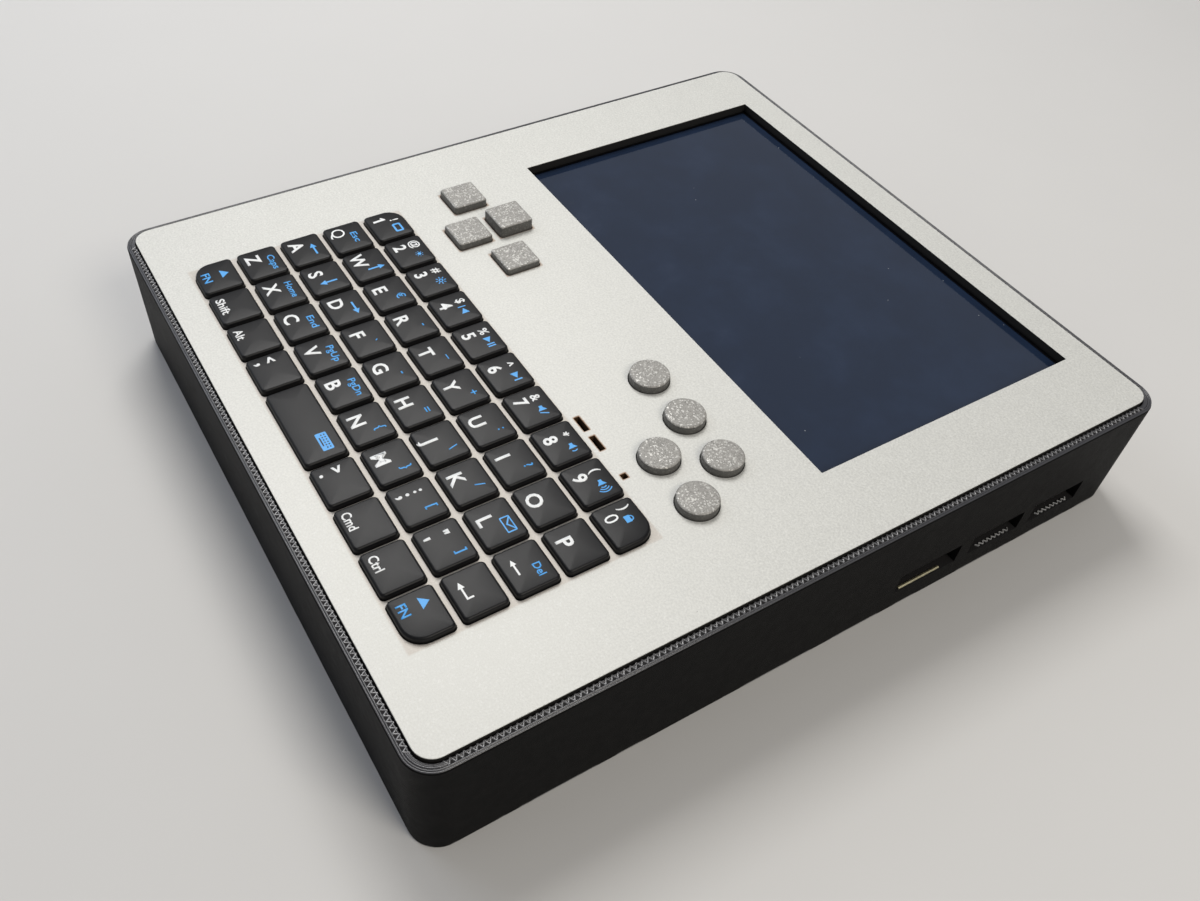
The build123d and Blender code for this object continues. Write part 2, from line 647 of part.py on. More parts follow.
def display_board():
    """The screen's driver board, with its chip and connector below."""
    base = DISPLAY_BOARD_BASE
    body = display_sheet(base, DISPLAY_BOARD_TOP)
    left = -LCD_X + DRIVER_SIDE
    near = WINDOW_Y - DRIVER_SHIFT - DRIVER_SIZE / 2
    body += block(left, left + DRIVER_SIZE, near, near + DRIVER_SIZE, base - DRIVER_H, base)
    half = SCREEN_PLUG_W / 2
    near = LCD_NEAR_Y + SCREEN_PLUG_NEAR
    body += block(-half, half, near, near + PLUG_L, base - PLUG_H, base)
    for x, y in COMPUTER_HOLES:
        body -= rod(x, y, base - 1, DISPLAY_BOARD_TOP + 1, M25_R + HOLE_GAP)
    return one(body)


def computer_board():
    """The computer's board with its processor, memory and ribbon connectors."""
    top = COMPUTER_TOP
    body = block(COMPUTER_LEFT, COMPUTER_RIGHT, COMPUTER_NEAR, COMPUTER_NEAR + COMPUTER_W, COMPUTER_BASE, top)
    half = CHIP_SIZE / 2
    body += block(CHIP_X - half, CHIP_X + half, CHIP_Y - half, CHIP_Y + half, top, top + CHIP_H)
    left = CHIP_X + MEMORY_STEP - MEMORY_W / 2
    near = CHIP_Y + MEMORY_SHIFT - MEMORY_L / 2
    body += block(left, left + MEMORY_W, near, near + MEMORY_L, top, top + MEMORY_H)
    body += ribbon_connector(KEYBOARD_RIBBON_X)
    body += ribbon_connector(ACTION_RIBBON_X)
    for x, y in COMPUTER_HOLES:
        body -= rod(x, y, COMPUTER_BASE - 1, top + 1, M25_R + HOLE_GAP)
    return one(body)


def heat_sink():
    """The finned block on the processor."""
    half = CHIP_SIZE / 2
    z0 = COMPUTER_TOP + CHIP_H
    body = block(CHIP_X - half, CHIP_X + half, CHIP_Y - half, CHIP_Y + half, z0, z0 + SINK_BASE_T)
    step = (CHIP_SIZE - SINK_FIN_T) / (SINK_FINS - 1)
    for i in range(SINK_FINS):
        x = CHIP_X - half + i * step
        body += block(x, x + SINK_FIN_T, CHIP_Y - half, CHIP_Y + half, z0, z0 + SINK_H)
    return one(body)


def board_header():
    """The pin header that joins computer board and display board."""
    y = COMPUTER_HOLES[1][1]
    return block(
        HEADER_X - HEADER_L / 2,
        HEADER_X + HEADER_L / 2,
        y - HEADER_W / 2,
        y + HEADER_W / 2,
        COMPUTER_TOP,
        DISPLAY_BOARD_BASE,
    )


def board_standoffs():
    """Hexagonal brass standoffs between the two boards."""
    height = DISPLAY_BOARD_BASE - COMPUTER_TOP
    hexagon = RegularPolygon(STANDOFF_FLATS / 2, 6, major_radius=False)
    return group(
        Pos(x, y, COMPUTER_TOP) * extrude(hexagon, height) - rod(x, y, 0, CASE_H, M25_R + THREAD_GAP)
        for x, y in COMPUTER_HOLES
    )


def socket(node):
    """A socket's metal shell with its tongue, open towards the wall."""
    shift, _, shell_w, clear_w = SOCKETS[node]
    y = COMPUTER_Y + shift
    mouth = INNER_X - SOCKET_WALL_GAP
    back = mouth - SOCKET_DEPTH
    half = SOCKET_H / 2
    body = block(back, mouth, y - shell_w / 2, y + shell_w / 2, SOCKET_Z - half, SOCKET_Z + half)
    clear = SOCKET_CLEAR_H / 2
    body -= block(back + SOCKET_BACK_T, mouth + 1, y - clear_w / 2, y + clear_w / 2, SOCKET_Z - clear, SOCKET_Z + clear)
    tongue_w = clear_w - 2 * SOCKET_TONGUE_SIDE
    tongue_half = SOCKET_TONGUE_T / 2
    body += block(
        back,
        mouth - SOCKET_TONGUE_BACK,
        y - tongue_w / 2,
        y + tongue_w / 2,
        SOCKET_Z - tongue_half,
        SOCKET_Z + tongue_half,
    )
    return one(body)


def computer_screws():
    """Screws from below through cover and board into the standoffs."""
    return group(csk_screw(x, y, M25_R, M25_HEAD_R, COMPUTER_SCREW_L) for x, y in COMPUTER_HOLES)


def board_screws():
    """Screws from above: four through the display board, two through the charging board."""
    display = [pan_screw(x, y, DISPLAY_BOARD_TOP, M25_R, BOARD_SCREW_L) for x, y in COMPUTER_HOLES]
    power = [pan_screw(x, y, POWER_TOP, M25_R, BOARD_SCREW_L) for x, y in POWER_HOLES]
    return group(display + power)


def keyboard_board():
    """The keyboard's circuit board, carried by the side rails."""
    base = KEYBOARD_BOARD_BASE
    reach = KEYBOARD_BOARD_X
    body = block(-reach, reach, KEYBOARD_BOARD_NEAR, KEYBOARD_BOARD_FAR, base, KEYBOARD_BOARD_TOP)
    left = KEYBOARD_RIBBON_X - RIBBON_W / 2 - PLUG_EDGE
    right = KEYBOARD_RIBBON_X + RIBBON_W / 2 + PLUG_EDGE
    y = KEYBOARD_BOARD_FAR - KEYBOARD_PLUG_INSET
    body += block(left, right, y - PLUG_L / 2, y + PLUG_L / 2, base - PLUG_H, base)
    for px, py in RAIL_SCREWS:
        body -= rod(px, py, base - 1, KEYBOARD_BOARD_TOP + 1, M25_R + HOLE_GAP)
    return one(body)


def keyboard_screws():
    """Six screws through the keyboard board into the rails."""
    length = BOARD_T + RAIL_H - RAIL_SCREW_TIP_GAP
    return group(pan_screw(x, y, KEYBOARD_BOARD_TOP, M25_R, length, RAIL_SCREW_HEAD_R) for x, y in RAIL_SCREWS)


def dome_sheet():
    """The dome sheet on the keyboard board, one pressed dome below each key."""
    half_x = KEYBOARD_W / 2 + DOME_SHEET_EDGE
    half_y = KEYBOARD_L / 2
    z0 = KEYBOARD_BOARD_TOP
    body = block(-half_x, half_x, KEYBOARD_Y - half_y, KEYBOARD_Y + half_y, z0, z0 + DOME_SHEET_T)
    for _, x, y, _, _ in key_slots():
        body += rod(x, y, z0, DOME_TOP, DOME_R)
    return one(body)


def status_lights():
    """The small lamps below the light slots."""
    z0 = KEYBOARD_BOARD_TOP
    shapes = [
        block(x - LIGHT_L / 2, x + LIGHT_L / 2, SLOT_Y - LIGHT_W / 2, SLOT_Y + LIGHT_W / 2, z0, z0 + LIGHT_H)
        for x in SLOT_XS
    ]
    x = LIGHT_HOLE_X
    shapes.append(block(x - LIGHT_W / 2, x + LIGHT_W / 2, SLOT_Y - LIGHT_W / 2, SLOT_Y + LIGHT_W / 2, z0, z0 + LIGHT_H))
    return group(shapes)


def switch_board(centre, half):
    """A board that lies across both beams."""
    body = block(
        centre - half,
        centre + half,
        BEAM_NEAR_Y - BEAM_W / 2,
        BEAM_FAR_Y + BEAM_W / 2,
        SWITCH_BOARD_BASE,
        SWITCH_BOARD_TOP,
    )
    for x, y in switch_screws():
        body -= rod(x, y, SWITCH_BOARD_BASE - 1, SWITCH_BOARD_TOP + 1, M2_R + HOLE_GAP)
    return one(body)


def switch_screws():
    """Screw places at the ends of the two switch boards."""
    return [
        (centre + s * (half - SWITCH_SCREW_INSET), y)
        for centre, half in (DIRECTION_BOARD, ACTION_BOARD)
        for s in (-1, 1)
        for y in (BEAM_NEAR_Y, BEAM_FAR_Y)
    ]


def switch_board_screws():
    """Eight small screws through the switch boards into the beams."""
    length = BOARD_T + M2_DEPTH
    return group(pan_screw(x, y, SWITCH_BOARD_TOP, M2_R, length, M2_HEAD_R) for x, y in switch_screws())


def switches(places):
    """Press switches, drawn with their plungers down."""
    half = SWITCH_SIZE / 2
    z0 = SWITCH_BOARD_TOP
    return group(
        block(x - half, x + half, y - half, y + half, z0, z0 + SWITCH_H)
        + rod(x, y, z0 + SWITCH_H - FUSE, SWITCH_TOP, PLUNGER_R)
        for x, y in places
    )


def battery_tape():
    """The adhesive pad below the battery."""
    z0 = COVER_T
    half_x = BATTERY_W / 2 - BATTERY_TAPE_INSET
    half_y = BATTERY_L / 2 - BATTERY_TAPE_INSET
    return block(-half_x, half_x, BATTERY_Y - half_y, BATTERY_Y + half_y, z0, z0 + BATTERY_TAPE_T)


def battery_pack():
    """The flat battery with softly rounded sides."""
    z0 = COVER_T + BATTERY_TAPE_T
    body = slab(BATTERY_W, BATTERY_L, BATTERY_CORNER_R, z0, z0 + BATTERY_T, 0, BATTERY_Y)
    faces = body.faces().sort_by(Axis.Z)
    return fillet(faces[0].edges() + faces[-1].edges(), BATTERY_EDGE_R)


def power_board():
    """The charging board with its coil and lead sockets."""
    top = POWER_TOP
    half_x = POWER_W / 2
    half_y = POWER_L / 2
    body = block(POWER_X - half_x, POWER_X + half_x, POWER_Y - half_y, POWER_Y + half_y, POWER_BASE, top)
    left = POWER_X - COIL_SHIFT - COIL_SIZE / 2
    near = POWER_Y + COIL_SHIFT - COIL_SIZE / 2
    body += block(left, left + COIL_SIZE, near, near + COIL_SIZE, top, top + POWER_PLUG_H)
    plug = POWER_PLUG_W / 2
    near = POWER_Y - half_y
    body += block(POWER_X - plug, POWER_X + plug, near, near + PLUG_L, top, top + POWER_PLUG_H)
    right = POWER_X + half_x
    body += block(right - PLUG_L, right, POWER_Y - plug, POWER_Y + plug, top, top + POWER_PLUG_H)
    for x, y in POWER_HOLES:
        body -= rod(x, y, POWER_BASE - 1, top + 1, M25_R + HOLE_GAP)
    return one(body)


def ribbon_connector(x):
    """The connector at the computer board's near edge that a ribbon enters."""
    near = COMPUTER_NEAR + PLUG_EDGE
    half = RIBBON_W / 2 + PLUG_EDGE
    return block(x - half, x + half, near, near + PLUG_L, COMPUTER_TOP, COMPUTER_TOP + PLUG_H)


def ribbon(x, points):
    """A strip of even thickness along straight runs joined by arcs, from its points' Y and Z."""
    path = FilletPolyline(*[(x, y, z) for y, z in points], radius=RIBBON_BEND)
    start = Plane(origin=path @ 0, x_dir=(1, 0, 0), z_dir=path % 0)
    return one(sweep(start * Rectangle(RIBBON_W, RIBBON_T), path=path))


def ribbon_end():
    """A ribbon's last points, from its low run into the connector on the computer board."""
    end = COMPUTER_NEAR + PLUG_EDGE
    level = COMPUTER_TOP + PLUG_H / 2
    return [(end - RIBBON_LOW_RUN, RIBBON_LOW), (end - RIBBON_END_RUN, level), (end, level)]


def keyboard_ribbon():
    """From the keyboard board, below both beams, to the computer board."""
    y0 = KEYBOARD_BOARD_FAR - KEYBOARD_PLUG_INSET + PLUG_L / 2
    y1 = y0 + RIBBON_START_RUN
    z0 = KEYBOARD_BOARD_BASE - PLUG_H / 2
    return ribbon(KEYBOARD_RIBBON_X, [(y0, z0), (y1, z0), (y1, RIBBON_LOW), *ribbon_end()])


def action_ribbon():
    """From the action buttons' board to the computer board."""
    y0 = BEAM_FAR_Y - BEAM_W / 2 - ACTION_RIBBON_NEAR
    return ribbon(ACTION_RIBBON_X, [(y0, SWITCH_BOARD_BASE), (y0, RIBBON_LOW), *ribbon_end()])


def link_ribbon():
    """The flat cable between the two switch boards, clear of the beams."""
    left = DIRECTION_BOARD[0] + DIRECTION_BOARD[1]
    right = ACTION_BOARD[0] - ACTION_BOARD[1]
    half = LINK_RIBBON_W / 2
    z = SWITCH_BOARD_BASE + BOARD_T / 2
    return block(left, right, PAD_Y - half, PAD_Y + half, z - RIBBON_T / 2, z + RIBBON_T / 2)


def lead_pair(points, across):
    """Two round wires side by side along straight runs joined by arcs."""
    wires = []
    for s in (-0.5, 0.5):
        shift = [s * LEAD_PITCH * a for a in across]
        places = [(x + shift[0], y + shift[1], z + shift[2]) for x, y, z in points]
        path = FilletPolyline(*places, radius=LEAD_BEND) if len(places) > 2 else Line(*places)
        start = Plane(origin=path @ 0, z_dir=path % 0)
        wires.append(sweep(start * Circle(LEAD_R), path=path))
    return wires


def battery_leads():
    """The battery's two wires, from its end to the charging board."""
    z0 = COVER_T + BATTERY_TAPE_T + BATTERY_T / 2
    y0 = BATTERY_Y + BATTERY_L / 2
    z1 = POWER_TOP + POWER_PLUG_H / 2
    y1 = POWER_Y - POWER_L / 2
    x = POWER_X
    points = [(x, y0, z0), (x, y0 + LEAD_BATTERY_RUN, z0), (x, y1 - LEAD_BOARD_RUN, z1), (x, y1, z1)]
    return lead_pair(points, (1, 0, 0))


def board_leads():
    """The two wires from the charging board to the computer board's left edge."""
    x0 = POWER_X + POWER_W / 2
    z0 = COMPUTER_TOP + LEAD_R
    return lead_pair([(x0, POWER_Y, z0), (COMPUTER_LEFT + LEAD_LAP, POWER_Y, z0)], (0, 1, 0))


def nodes():
    """Every node's shape, by name."""
    shapes = {
        "case_frame": case_frame(),
        "front_plate": front_plate(),
        "plate_tape": plate_tape(),
        "bottom_cover": bottom_cover(),
        "cover_screws": cover_screws(),
        "threaded_inserts": threaded_inserts(),
        "display_gasket": display_gasket(),
        "display_glass": display_sheet(LCD_TOP, GLASS_TOP),
        "lcd_panel": display_sheet(LCD_BASE, LCD_TOP),
        "display_pads": display_pads(),
        "display_board": display_board(),
        "board_screws": board_screws(),
        "board_standoffs": board_standoffs(),
        "board_header": board_header(),
        "computer_board": computer_board(),
        "heat_sink": heat_sink(),
        "computer_screws": computer_screws(),
        "battery_tape": battery_tape(),
        "battery_pack": battery_pack(),
        "power_leads": group(battery_leads() + board_leads()),
        "power_board": power_board(),
        "keyboard_board": keyboard_board(),
        "keyboard_screws": keyboard_screws(),
        "dome_sheet": dome_sheet(),
        "status_lights": status_lights(),
        "direction_board": switch_board(*DIRECTION_BOARD),
        "direction_switches": switches([(x, y) for x, y, _ in DIRECTIONS.values()]),
        "action_board": switch_board(*ACTION_BOARD),
        "action_switches": switches(ACTIONS.values()),
        "switch_board_screws": switch_board_screws(),
        "keyboard_ribbon": keyboard_ribbon(),
        "action_ribbon": action_ribbon(),
        "link_ribbon": link_ribbon(),
    }
    for name in SOCKETS:
        shapes[name] = socket(name)
    return shapes | direction_caps() | action_caps() | keys()


def main():
    """Writes one STEP file for each node."""
    os.makedirs("parts", exist_ok=True)
    for name, shape in nodes().items():
        export_step(shape, f"parts/{name}.step")


if __name__ == "__main__":
    main()
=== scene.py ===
"""Looks of the handheld computer: an add-on's layout around its packed frame.

Metres, in the frame's own axes: +X to the user's right, +Y towards the screen, +Z out of the front plate.
"""
import math

import bmesh
import bpy
from bpy.props import FloatProperty, FloatVectorProperty, PointerProperty
from bpy.types import Operator, Panel, PropertyGroup
from mathutils import Matrix, Vector, geometry
from mathutils.bvhtree import BVHTree


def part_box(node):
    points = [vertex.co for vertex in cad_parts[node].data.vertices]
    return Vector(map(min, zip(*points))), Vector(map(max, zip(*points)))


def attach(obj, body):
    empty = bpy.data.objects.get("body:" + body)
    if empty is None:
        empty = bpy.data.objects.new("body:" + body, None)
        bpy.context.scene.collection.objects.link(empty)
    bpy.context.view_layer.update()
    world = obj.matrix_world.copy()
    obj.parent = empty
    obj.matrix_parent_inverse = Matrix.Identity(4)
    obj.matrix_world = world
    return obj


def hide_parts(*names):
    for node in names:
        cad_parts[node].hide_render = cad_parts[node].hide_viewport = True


bl_info = {
    "name": "Handheld computer",
    "version": (1, 0, 0),
    "blender": (4, 5, 0),
    "location": "3D View > Sidebar > Handheld",
    "description": "Dresses the packed handheld computer: plate, keys, buttons, screen and printed case",
    "category": "Object",
}

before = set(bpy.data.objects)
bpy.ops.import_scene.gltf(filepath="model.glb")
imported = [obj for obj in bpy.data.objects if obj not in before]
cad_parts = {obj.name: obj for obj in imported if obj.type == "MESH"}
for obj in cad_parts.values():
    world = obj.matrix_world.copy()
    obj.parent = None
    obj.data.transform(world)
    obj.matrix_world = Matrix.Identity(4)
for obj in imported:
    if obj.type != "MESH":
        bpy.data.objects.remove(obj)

MM = 0.001
CASE = "case"
SEED = 7

# Levels and edges of the packed pieces
PLATE_LOW, PLATE_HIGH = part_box("front_plate")
CASE_LOW, CASE_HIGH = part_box("case_frame")
PLATE_TOP = PLATE_HIGH.z
RIM_TOP = CASE_HIGH.z
RIM_WIDTH = CASE_HIGH.x - PLATE_HIGH.x

# Openings of the front plate
WINDOW_CENTRE_Y = 40.8 * MM
SLOT_SIZE = (3.85 * MM, 1.15 * MM)
SLOT_Y = -23.9 * MM
SLOT_XS = (22.9 * MM, 28.4 * MM)
LIGHT_HOLE_X = 37.5 * MM
KEY_FLANGE = 0.4 * MM
CAP_FLANGE = 0.65 * MM
KEY_GAP = 0.15 * MM
CAP_GAP = 0.15 * MM
SQUARE_CORNER = 0.7 * MM
WINDOW_CORNER = 0.15 * MM
SLOT_CORNER = 0.12 * MM

# Feet and flanges below the plate
FLANGE_GAP = 0.1 * MM
KEY_FLANGE_T = 0.7 * MM
CAP_FLANGE_T = 1.0 * MM
KEY_FOOT_R = 1.6 * MM
CAP_FOOT_R = 2.0 * MM

# How finely the signs are cut, and a capital's height as a share of its text's size
SLICE = 0.45 * MM
CAPITAL_SHARE = 0.72

# The case's printed layers, its crossing lines and a painted highlight along the foot of its walls, in the
# millimetres of a material
LAYER_PITCH = 0.2
LINE_PITCH = 0.62
FOOT_HIGHLIGHT = (0.38, 0.72)

CAMERA_SHIFT = (0.0354, 0.0143)
SENSOR_WIDTH = 36.0

DIRECTION_NODES = ("direction_left", "direction_right", "direction_up", "direction_down")
ACTION_NODES = tuple(f"action_button_{number}" for number in range(1, 6))
SOCKET_OPENINGS = ((25.8 * MM, 16.0 * MM), (44.1 * MM, 14.0 * MM), (61.1 * MM, 14.0 * MM))
SOCKET_SILL = 5.6 * MM

# Legends, row by row from the user's side: white main sign, white upper sign, blue sign
BOTTOM_ROW = [
    ("", "", "fn"), ("Shift", "", ""), ("Alt", "", ""), (",", "<", ""), ("", "", "keyboard"),
    (".", ">", ""), ("Cmd", "", ""), ("Ctrl", "", ""), ("", "", "fn"),
]
LOW_ROW = [
    ("Z", "", "Caps"), ("X", "", "Home"), ("C", "", "End"), ("V", "", "PgUp"), ("B", "", "PgDn"),
    ("N", "", "{"), ("M", "", "}"), (";", ":", "["), ("'", '"', "]"), ("enter", "", ""),
]
MIDDLE_ROW = [
    ("A", "", "left"), ("S", "", "down"), ("D", "", "right"), ("F", "", "`"), ("G", "", "-"),
    ("H", "", "="), ("J", "", "\\"), ("K", "", "/"), ("L", "", "envelope"), ("back", "", "Del"),
]
HIGH_ROW = [
    ("Q", "", "Esc"), ("W", "", "up"), ("E", "", "€"), ("R", "", "-"), ("T", "", "–"),
    ("Y", "", "+"), ("U", "", ":"), ("I", "", "?"), ("O", "", ""), ("P", "", ""),
]
DIGIT_ROW = [
    ("1", "!", "square"), ("2", "@", "dim"), ("3", "#", "sun"), ("4", "$", "previous"), ("5", "%", "play"),
    ("6", "^", "next"), ("7", "&", "mute"), ("8", "*", "quiet"), ("9", "(", "loud"), ("0", ")", "lock"),
]
ROWS = [BOTTOM_ROW, LOW_ROW, MIDDLE_ROW, HIGH_ROW, DIGIT_ROW]

# Where the signs lie on their keys, in millimetres from the middle
LETTER_PLACE = (-1.4, -1.45)
LETTER_SHIFTS = {
    "Q": -0.4, "W": -0.15, "T": 0.2, "Y": 0.3, "U": 0.2, "I": -0.4, "O": 0.5, "P": 0.45, "S": -0.15,
    "J": 0.25, "K": 0.4, "L": 0.5, "X": 0.2, "V": 0.2, "B": 0.15, "N": 0.25, "M": 0.3,
    "1": -0.5, "2": -0.2, "3": -0.6, "5": -0.2, "7": -0.25, "8": 0.15, "0": -0.15,
}
WORD_PLACES = {
    "Shift": (-0.6, -2.25), "Alt": (-1.65, -2.3), "Cmd": (-1.35, -2.3), "Ctrl": (-1.65, -2.1),
    "Esc": (0.8, 1.5), "Caps": (0.85, 2.1), "Home": (0.4, 2.1), "End": (1.1, 2.1),
    "PgUp": (1.05, 2.1), "PgDn": (0.9, 2.1), "Del": (1.5, 1.65),
}
WORD_WIDTHS = {
    "Shift": 4.9, "Alt": 3.0, "Cmd": 4.1, "Ctrl": 3.5, "Esc": 3.5, "Caps": 4.8, "Home": 5.1, "End": 3.7,
    "PgUp": 4.7, "PgDn": 4.7, "Del": 2.7,
}
UPPER_PLACES = {
    "!": (-0.95, 1.65), "@": (-1.6, 1.7), "#": (-2.0, 1.85), "$": (-1.5, 1.8), "%": (-1.55, 1.7),
    "^": (-1.35, 2.0), "&": (-1.65, 1.6), "*": (-1.3, 1.85), "(": (-1.8, 1.55), ")": (-2.7, 1.55),
    "<": (-2.85, 0.3), ">": (-2.6, 0.4), ":": (-1.95, 1.0), '"': (-2.1, 1.3),
}
BLUE_PLACES = {
    "square": (1.85, 1.3), "dim": (1.85, 1.35), "sun": (1.4, 1.4), "previous": (1.5, 1.35),
    "play": (1.6, 1.35), "next": (1.9, 1.27), "mute": (1.9, 1.2), "quiet": (2.2, 1.27),
    "loud": (1.65, 1.27), "lock": (-0.2, 1.35), "up": (1.85, 1.05), "€": (1.8, 1.65),
    "-": (1.5, 1.7), "–": (1.6, 1.7), "+": (2.1, 1.7), ":": (2.3, 1.65), "?": (1.95, 1.7),
    "left": (0.7, 1.6), "down": (1.75, 0.0), "right": (1.1, 1.5), "`": (1.3, 1.3), "=": (2.1, 1.6),
    "\\": (2.2, 1.5), "/": (1.8, 1.6), "envelope": (1.4, 1.65), "{": (2.1, 1.6),
    "}": (2.5, 1.6), "[": (2.2, 1.6), "]": (2.5, 1.6), "keyboard": (5.9, 1.1),
}


def millimetres(name, value, description):
    """A length property, given in millimetres."""
    return FloatProperty(
        name=name, description=description, default=value * MM,
        precision=5, subtype="DISTANCE", unit="LENGTH",
    )


def colour(name, value, description):
    """A colour property, given as sRGB values from 0 to 255."""
    linear = [(v / 255 / 12.92 if v < 11 else ((v / 255 + 0.055) / 1.055) ** 2.4) for v in value]
    return FloatVectorProperty(
        name=name, description=description, default=linear, subtype="COLOR", size=3, min=0, max=1
    )


def lamp_power(name, value, description):
    """A lamp's power."""
    return FloatProperty(name=name, description=description, default=value, unit="POWER")


def shade(tone, factor):
    """A darker or lighter tone."""
    return [min(value * factor, 1) for value in tone]


class PlateSettings(PropertyGroup):
    """The front plate."""

    window_width: millimetres("Window width", 108.0, "Width of the screen's window")
    window_length: millimetres("Window length", 64.8, "Length of the screen's window")
    corner: millimetres("Corner radius", 3.6, "Radius of the plate's corners")
    bevel: millimetres("Edge bevel", 0.07, "Width of the small bevel along every cut edge")
    skin: millimetres("Skin", 0.12, "Depth of the silver layer over the dark core")
    silver: colour("Silver", (206, 206, 201), "Colour of the plate's face")
    core: colour("Core", (20, 18, 16), "Colour of the plate's dark core")
    burn: colour("Burnt edge", (140, 98, 56), "Colour of the face close to the small slots")


class RimSettings(PropertyGroup):
    """The printed lines on top of the case's walls."""

    pitch: millimetres("Stroke pitch", 0.56, "Distance between two strokes of the zigzag")
    band: millimetres("Zigzag band", 0.95, "Width of the band that the zigzag fills")
    line: millimetres("Line width", 0.36, "Width of a printed line")
    height: millimetres("Line height", 0.09, "Height of a printed line above the wall")


class KeySettings(PropertyGroup):
    """The keys and what is printed on them."""

    corner: millimetres("Corner radius", 0.9, "Radius of a key's corners")
    outer_corner: millimetres("Outer corner radius", 5.2, "Radius of the keyboard's four outer corners")
    shoulder: millimetres("Shoulder", 0.75, "Height of the straight side above the plate")
    edge: millimetres("Edge width", 0.5, "Width of the rounded edge around a key's top")
    crown: millimetres("Crown", 0.16, "Height of the swelling of a key's top")
    letter: millimetres("Letter height", 2.95, "Height of a white capital letter")
    small: millimetres("Small sign height", 1.75, "Height of a small sign")
    bold: millimetres("Boldness", 0.11, "How far the print is widened")
    lift: millimetres("Ink height", 0.025, "Height of the print above a key")
    rubber: colour("Key colour", (15, 15, 17), "Colour of the keys")
    white: colour("White print", (236, 238, 238), "Colour of the main signs")
    blue: colour("Blue print", (72, 166, 238), "Colour of the second signs")


class CapSettings(PropertyGroup):
    """The nine button caps."""

    edge: millimetres("Edge radius", 0.5, "Radius of the rounded edge around a cap's top")
    grain: millimetres("Glitter size", 0.27, "Size of one glitter grain")
    grey: colour("Cap colour", (150, 148, 143), "Base colour of the caps")
    bright: colour("Glitter colour", (226, 225, 220), "Colour of the brightest grains")


class ScreenSettings(PropertyGroup):
    """The screen behind the window."""

    border: millimetres("Border", 0.6, "Width of the black border inside the window")
    glass: colour("Screen colour", (24, 36, 56), "Colour of the switched-off screen")
    dust: FloatProperty(
        name="Dust", description="Share of the screen's cells that hold dust", default=0.45, min=0, max=1
    )


class StageSettings(PropertyGroup):
    """Floor, lamps and camera."""

    floor: colour("Floor", (206, 205, 203), "Colour of the floor")
    overhead: lamp_power("Overhead lamp", 3.1, "Power of the large lamp")
    warm: lamp_power("Warm lamp", 2.4, "Power of the lamp on the right")
    cool: lamp_power("Cool lamp", 1.1, "Power of the lamp on the left")
    room: FloatProperty(name="Room light", description="Strength of the light from all around", default=0.30)
    camera_place: FloatVectorProperty(
        name="Camera",
        description="Place of the camera",
        default=(0.136689, -0.105712, 0.174414),
        subtype="TRANSLATION",
    )
    camera_turn: FloatVectorProperty(
        name="Camera turn",
        description="Rotation of the camera",
        default=[math.radians(angle) for angle in (41.191, -2.926, 59.186)],
        subtype="EULER",
    )
    lens: FloatProperty(name="Lens", description="Focal length in millimetres", default=32.626, min=1)


class Value:
    """A number in a material. Arithmetic on it adds Math nodes."""

    def __init__(self, finish, socket):
        self.finish = finish
        self.socket = socket

    def math(self, operation, *terms):
        return self.finish.add("ShaderNodeMath", {"operation": operation}, dict(enumerate(terms)))

    def ramp(self, low, high):
        """0 below low, 1 above high, smooth between; high may be the smaller one."""
        return self.finish.add(
            "ShaderNodeMapRange",
            {"interpolation_type": "SMOOTHSTEP"},
            {"Value": self, "From Min": low, "From Max": high},
        )


def operation_method(operation, turned):
    """A method that adds one Math node to a Value, with its terms turned round if asked."""
    def method(self, *others):
        return self.math(operation, *(*others, self) if turned else (self, *others))
    return method


for method_name, math_operation in {
    "__add__": "ADD", "__radd__": "ADD", "__sub__": "SUBTRACT", "__rsub__": "SUBTRACT",
    "__mul__": "MULTIPLY", "__abs__": "ABSOLUTE", "__gt__": "GREATER_THAN", "__lt__": "LESS_THAN",
    "larger": "MAXIMUM", "smaller": "MINIMUM", "sine": "SINE", "root": "SQRT",
}.items():
    setattr(Value, method_name, operation_method(math_operation, method_name.startswith("__r")))


